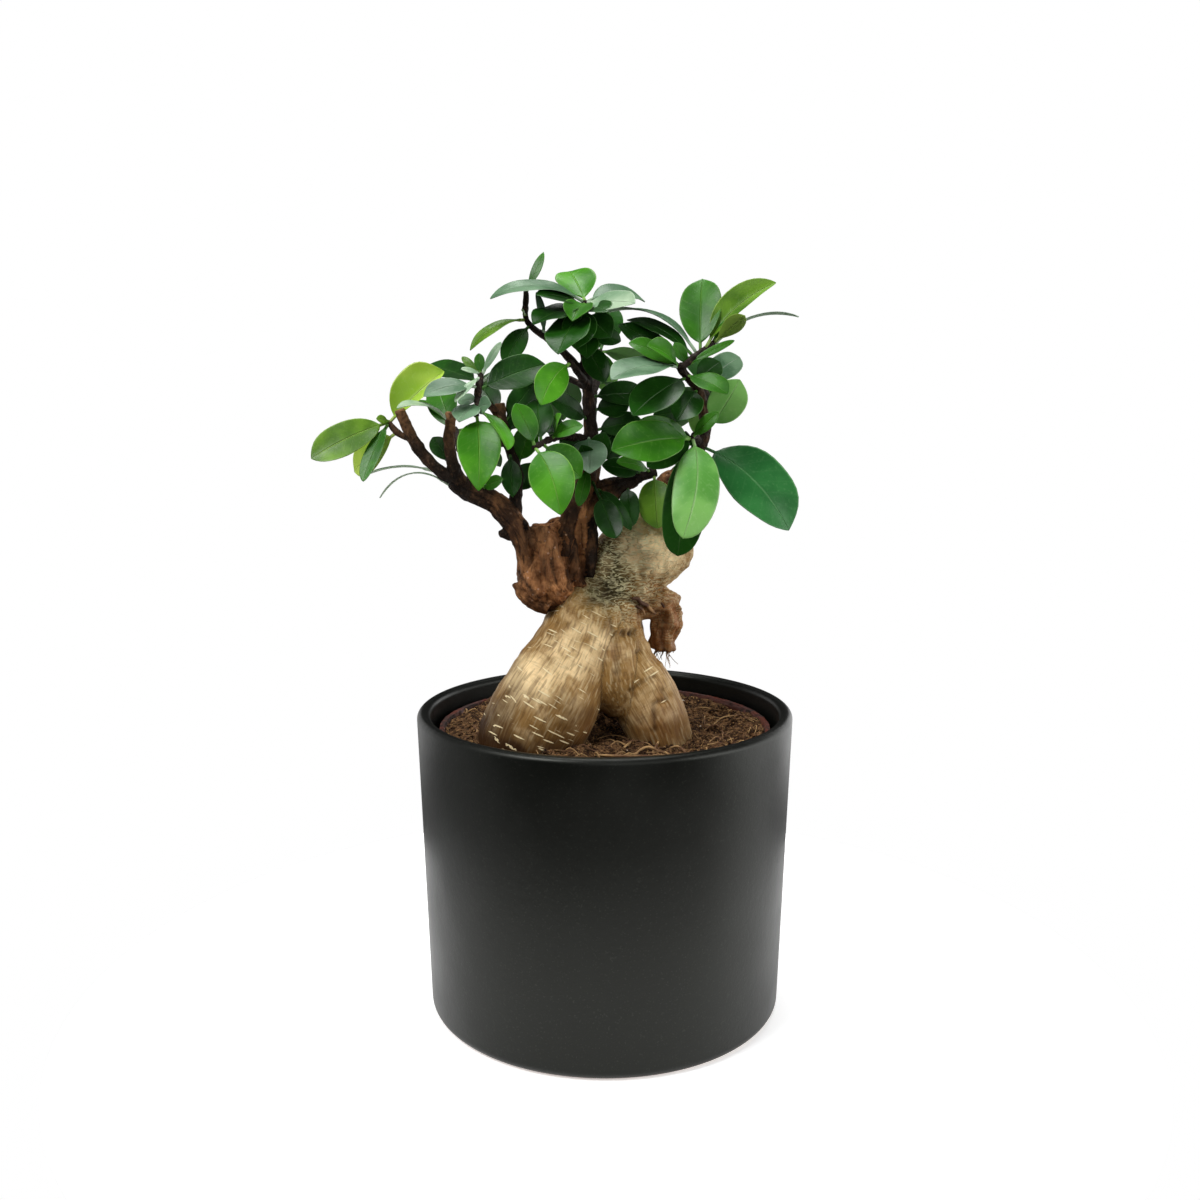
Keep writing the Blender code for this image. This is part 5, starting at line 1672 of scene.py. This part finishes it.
@dataclass
class Soil:
    """Peat filling the growing pot: a lumpy top, crumbs, fibres, string roots and grit."""
    level: float = 101.2
    edge: float = 57.6
    base: float = 40.0
    base_z: float = 8.4
    seed: int = 8
    rings: int = 75
    sides: int = 240
    crumb_count: int = 1500
    crumb_size: Row = (0.5, 1.5)
    fibre_count: int = 170
    grit_count: int = 26
    grit_size: Row = (0.4, 0.9)
    steps: tuple[Row, ...] = ((52.6, 91.6), (56.0, 94.0))   # radii and heights up the side
    lumps: tuple[Row, ...] = ((1.2, 13, 41), (1.0, 5, 43), (0.8, 2.2, 45), (0.4, 1.1, 47))
    strings: tuple[Row, ...] = (
        (5.9, -25.7, 9, -18, 12.5, -10.2, 17, -6.2, 20.9, -6.2),
        (20.9, -6.2, 20.5, -12, 19.3, -16.8, 16, -29.4), (20.8, -21.9, 25.2, -24.4, 29, -29.4),
        (-2, -33, 6, -36, 15, -34, 21, -38), (9, -30, 15, -27, 22, -30),
        (-50, 6, -46, -4, -49, -16), (38, 12, 43, 2, 41, -12), (30, 30, 20, 38, 8, 40))

    def height(self, x: Array, y: Array) -> Array:
        """Return the level plus four sizes of lumps, and the bank round the edge.

        Args:
            x: places from left to right.
            y: places from front to back.

        Returns:
            The soil's height at each place.
        """
        places = np.stack([x, y, np.zeros_like(x)], axis=-1).reshape(-1, 3)
        lumps = sum(high * lattice_noise(places, size, seed) for high, size, seed in self.lumps)
        bank = 1.4 * np.clip((np.hypot(x, y) - 38) / 18, 0, 1) ** 2
        return self.level + lumps.reshape(x.shape) + bank

    def bed(self) -> Shell:
        """Loft rings from the bottom up the side, and in over the lumpy top.

        Returns:
            A closed shell.
        """
        around = circle(self.sides).T
        x, y = self.edge * np.linspace(1, 0.02, self.rings)[:, None] * around[:, None]
        top = np.stack([x, y, self.height(x, y)], axis=2)
        sides = [np.stack([*(radius * around), np.full(self.sides, z)], axis=1)
                 for radius, z in ((self.base, self.base_z), *self.steps)]
        return loft(np.concatenate([np.array(sides), top]))

    def scatter(self, count: int, rng: np.random.Generator) -> Array:
        """Return random places all over the soil, of which the roots cover some.

        Args:
            count: how many places.
            rng: the source of chance.

        Returns:
            Rows of x, y and z.
        """
        radius = self.edge * np.sqrt(rng.uniform(0.02, 0.97, count))
        turn = rng.uniform(0, 2 * math.pi, count)
        x, y = radius * np.cos(turn), radius * np.sin(turn)
        return np.stack([x, y, self.height(x, y)], axis=1)

    def crumbs(self, count: int, size: Row, rng: np.random.Generator) -> Shell:
        """Scatter eight-sided lumps, each an octahedron with its corners moved at random.

        Args:
            count: how many lumps.
            size: the least and the greatest radius.
            rng: the source of chance.

        Returns:
            All the lumps in one shell.
        """
        corners = np.array([(1, 0, 0), (0, 1, 0), (-1, 0, 0), (0, -1, 0), (0, 0, 1), (0, 0, -1)],
                           float)
        faces = np.array([(0, 1, 4), (1, 2, 4), (2, 3, 4), (3, 0, 4),
                          (1, 0, 5), (2, 1, 5), (3, 2, 5), (0, 3, 5)])
        scale = rng.uniform(*size, (count, 1, 1)) * rng.uniform(0.6, 1.4, (count, 6, 1))
        turn = rng.uniform(0, 2 * math.pi, count)[:, None]
        x, y, z = corners.T
        spun = np.stack([x * np.cos(turn) - y * np.sin(turn), x * np.sin(turn) + y * np.cos(turn),
                         np.broadcast_to(z * 0.7, (count, 6))], axis=2)
        points = (self.scatter(count, rng)[:, None] + spun * scale).reshape(-1, 3)
        tris = (faces[None] + 6 * np.arange(count)[:, None, None]).reshape(-1, 3)
        return Shell(points, np.zeros((0, 4), int), tris)

    def fibres(self, count: int, rng: np.random.Generator) -> Shell:
        """Lay thin arched threads on the soil, each a small tube through four points.

        Args:
            count: how many threads, next to the listed strings.
            rng: the source of chance.

        Returns:
            All the threads in one shell.
        """
        shells = []
        for start in self.scatter(count, rng):
            reach = rng.uniform(4, 13)
            turn = rng.uniform(0, 2 * math.pi)
            bend = rng.uniform(-1.2, 1.2)
            shares = np.array([0, 0.33, 0.66, 1.0])
            angles = turn + bend * shares
            x = start[0] + reach * shares * np.cos(angles)
            y = start[1] + reach * shares * np.sin(angles)
            keep = np.minimum(1, (self.edge - 1) / np.maximum(np.hypot(x, y), 1))
            x, y = x * keep, y * keep
            z = self.height(x, y) + rng.uniform(0.2, 2.0) * np.sin(math.pi * shares) + 0.15
            line = [x, y, z, np.full(4, rng.uniform(0.12, 0.26))]
            shells.append(tube(np.stack(line, axis=1), 5))
        for string in self.strings:
            x, y = np.array(string[::2]), np.array(string[1::2])
            z = self.height(x, y) + rng.uniform(0.6, 1.8, len(x))
            z[[0, -1]] -= 1.2
            line = [x, y, z, np.full(len(x), rng.uniform(0.3, 0.45))]
            shells.append(tube(np.stack(line, axis=1), 6, 6))
        return Shell.joined(shells)

    def build(self) -> None:
        """Make the bed, the crumbs, the fibres and the grit."""
        rng = np.random.default_rng(self.seed)
        peat, fibre, grit = DampPeat().material(), root_fibre(), perlite_grit()
        for name, shell, stuff, nodes in (
                ("peat_bed", self.bed(), peat, ["potting_soil"]),
                ("peat_crumbs", self.crumbs(self.crumb_count, self.crumb_size, rng), peat, []),
                ("peat_fibres", self.fibres(self.fibre_count, rng), fibre, []),
                ("perlite_grit", self.crumbs(self.grit_count, self.grit_size, rng), grit, [])):
            place_piece(name, shell.mesh(name), stuff, "peat", nodes)


# ---------------------------------------------------------------- studio

# Name, place and width in metres, and power in watts of each square soft lamp.
LAMPS: tuple[tuple[str, Row, float, float], ...] = (
    ("key_softbox", (-0.75, -0.55, 1.2), 0.6, 16), ("front_softbox", (0.3, -1.3, 0.6), 0.8, 3.6),
    ("side_softbox", (0.9, -0.4, 0.5), 0.6, 4.4), ("top_softbox", (0.0, 0.25, 1.4), 0.7, 12),
    ("right_panel", (1.0, 0.05, 0.12), 0.8, 4.6), ("right_rim_panel", (0.75, 0.8, 0.15), 0.8, 4.0),
    ("left_panel", (-1.0, 0.05, 0.12), 0.8, 1.1), ("left_rim_panel", (-0.75, 0.8, 0.15), 0.8, 2.0))


@dataclass
class Studio:
    """A wide paper floor, a white backdrop, large soft lamps and the camera, in metres."""
    floor_radius: float = 0.195
    floor_sides: int = 96
    target: Row = (0, 0, 0.15)
    camera_place: Row = (-0.0017, -0.441, 0.2216)
    pitch: float = 9.31                 # how far the camera looks down, in degrees
    lens: float = 37.44
    room: float = 0.04                  # how bright the room is as light
    backdrop: float = 1.0               # how bright it is as seen

    def build_floor(self) -> None:
        """Lay a wide flat disc of paper."""
        count = self.floor_sides
        rim = np.concatenate([circle(count), np.zeros((count, 1))], axis=1) * self.floor_radius / MM
        index = np.arange(count)
        hub = np.stack([index, np.roll(index, -1), np.full(count, count)], axis=1)
        shell = Shell(np.concatenate([rim, [(0, 0, 0)]]), np.zeros((0, 4), int), hub)
        mesh = shell.mesh("paper_floor")
        mesh.materials.append(StudioPaper().material())
        floor = bpy.data.objects.new("paper_floor", mesh)
        bpy.context.collection.objects.link(floor)

    def lamp(self, name: str, place: Row, size: float, power: float) -> None:
        """Hang one square soft lamp that looks at the middle of the plant.

        Args:
            name: the lamp's name.
            place: where it hangs.
            size: its width.
            power: its power in watts.
        """
        light = bpy.data.lights.new(name, "AREA")
        light.size = size
        light.energy = power
        lamp = bpy.data.objects.new(name, light)
        lamp.location = place
        aim = Vector(self.target) - Vector(place)
        lamp.rotation_euler = aim.to_track_quat("-Z", "Y").to_euler()
        bpy.context.collection.objects.link(lamp)

    def build_room(self) -> None:
        """Light the room dimly, in front of a white backdrop."""
        paint = Paint(bpy.data.worlds.new("studio_room"), "Background", Color=(1, 1, 1, 1))
        strength = paint.add(Kind.RAMP, paint.add(Kind.SIGHT), 0, 1, self.room, self.backdrop)
        bpy.context.scene.world = paint.finished(Strength=strength)

    def build(self) -> None:
        """Set the floor, the lamps, the room and the camera."""
        self.build_floor()
        for name, place, size, power in LAMPS:
            self.lamp(name, place, size, power)
        self.build_room()
        bpy.context.scene.view_settings.view_transform = "Standard"
        optics = bpy.data.cameras.new("camera")
        optics.lens = self.lens
        camera = bpy.data.objects.new("camera", optics)
        camera.location = self.camera_place
        camera.rotation_euler = (math.radians(90 - self.pitch), 0, 0)
        bpy.context.collection.objects.link(camera)
        bpy.context.scene.camera = camera


def main() -> None:
    """Build and dress the bonsai, from the pot up, and log each piece."""
    logging.basicConfig(level=logging.INFO, format="%(name)s %(message)s")
    CeramicPot().build()
    growing_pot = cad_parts["nursery_pot"].data
    growing_pot.materials.clear()
    growing_pot.materials.append(MouldedPlastic().material())
    Soil().build()
    Rootstock().build()
    Rootlets().build()
    skins = {tone.name.lower(): LeafSkin(tone).material() for tone in Tone}
    for scion in SCIONS:
        bark = scion.build()
        Foliage(bark, scion.limbs, skins).build()
    Studio().build()


if __name__ == "__main__":
    main()
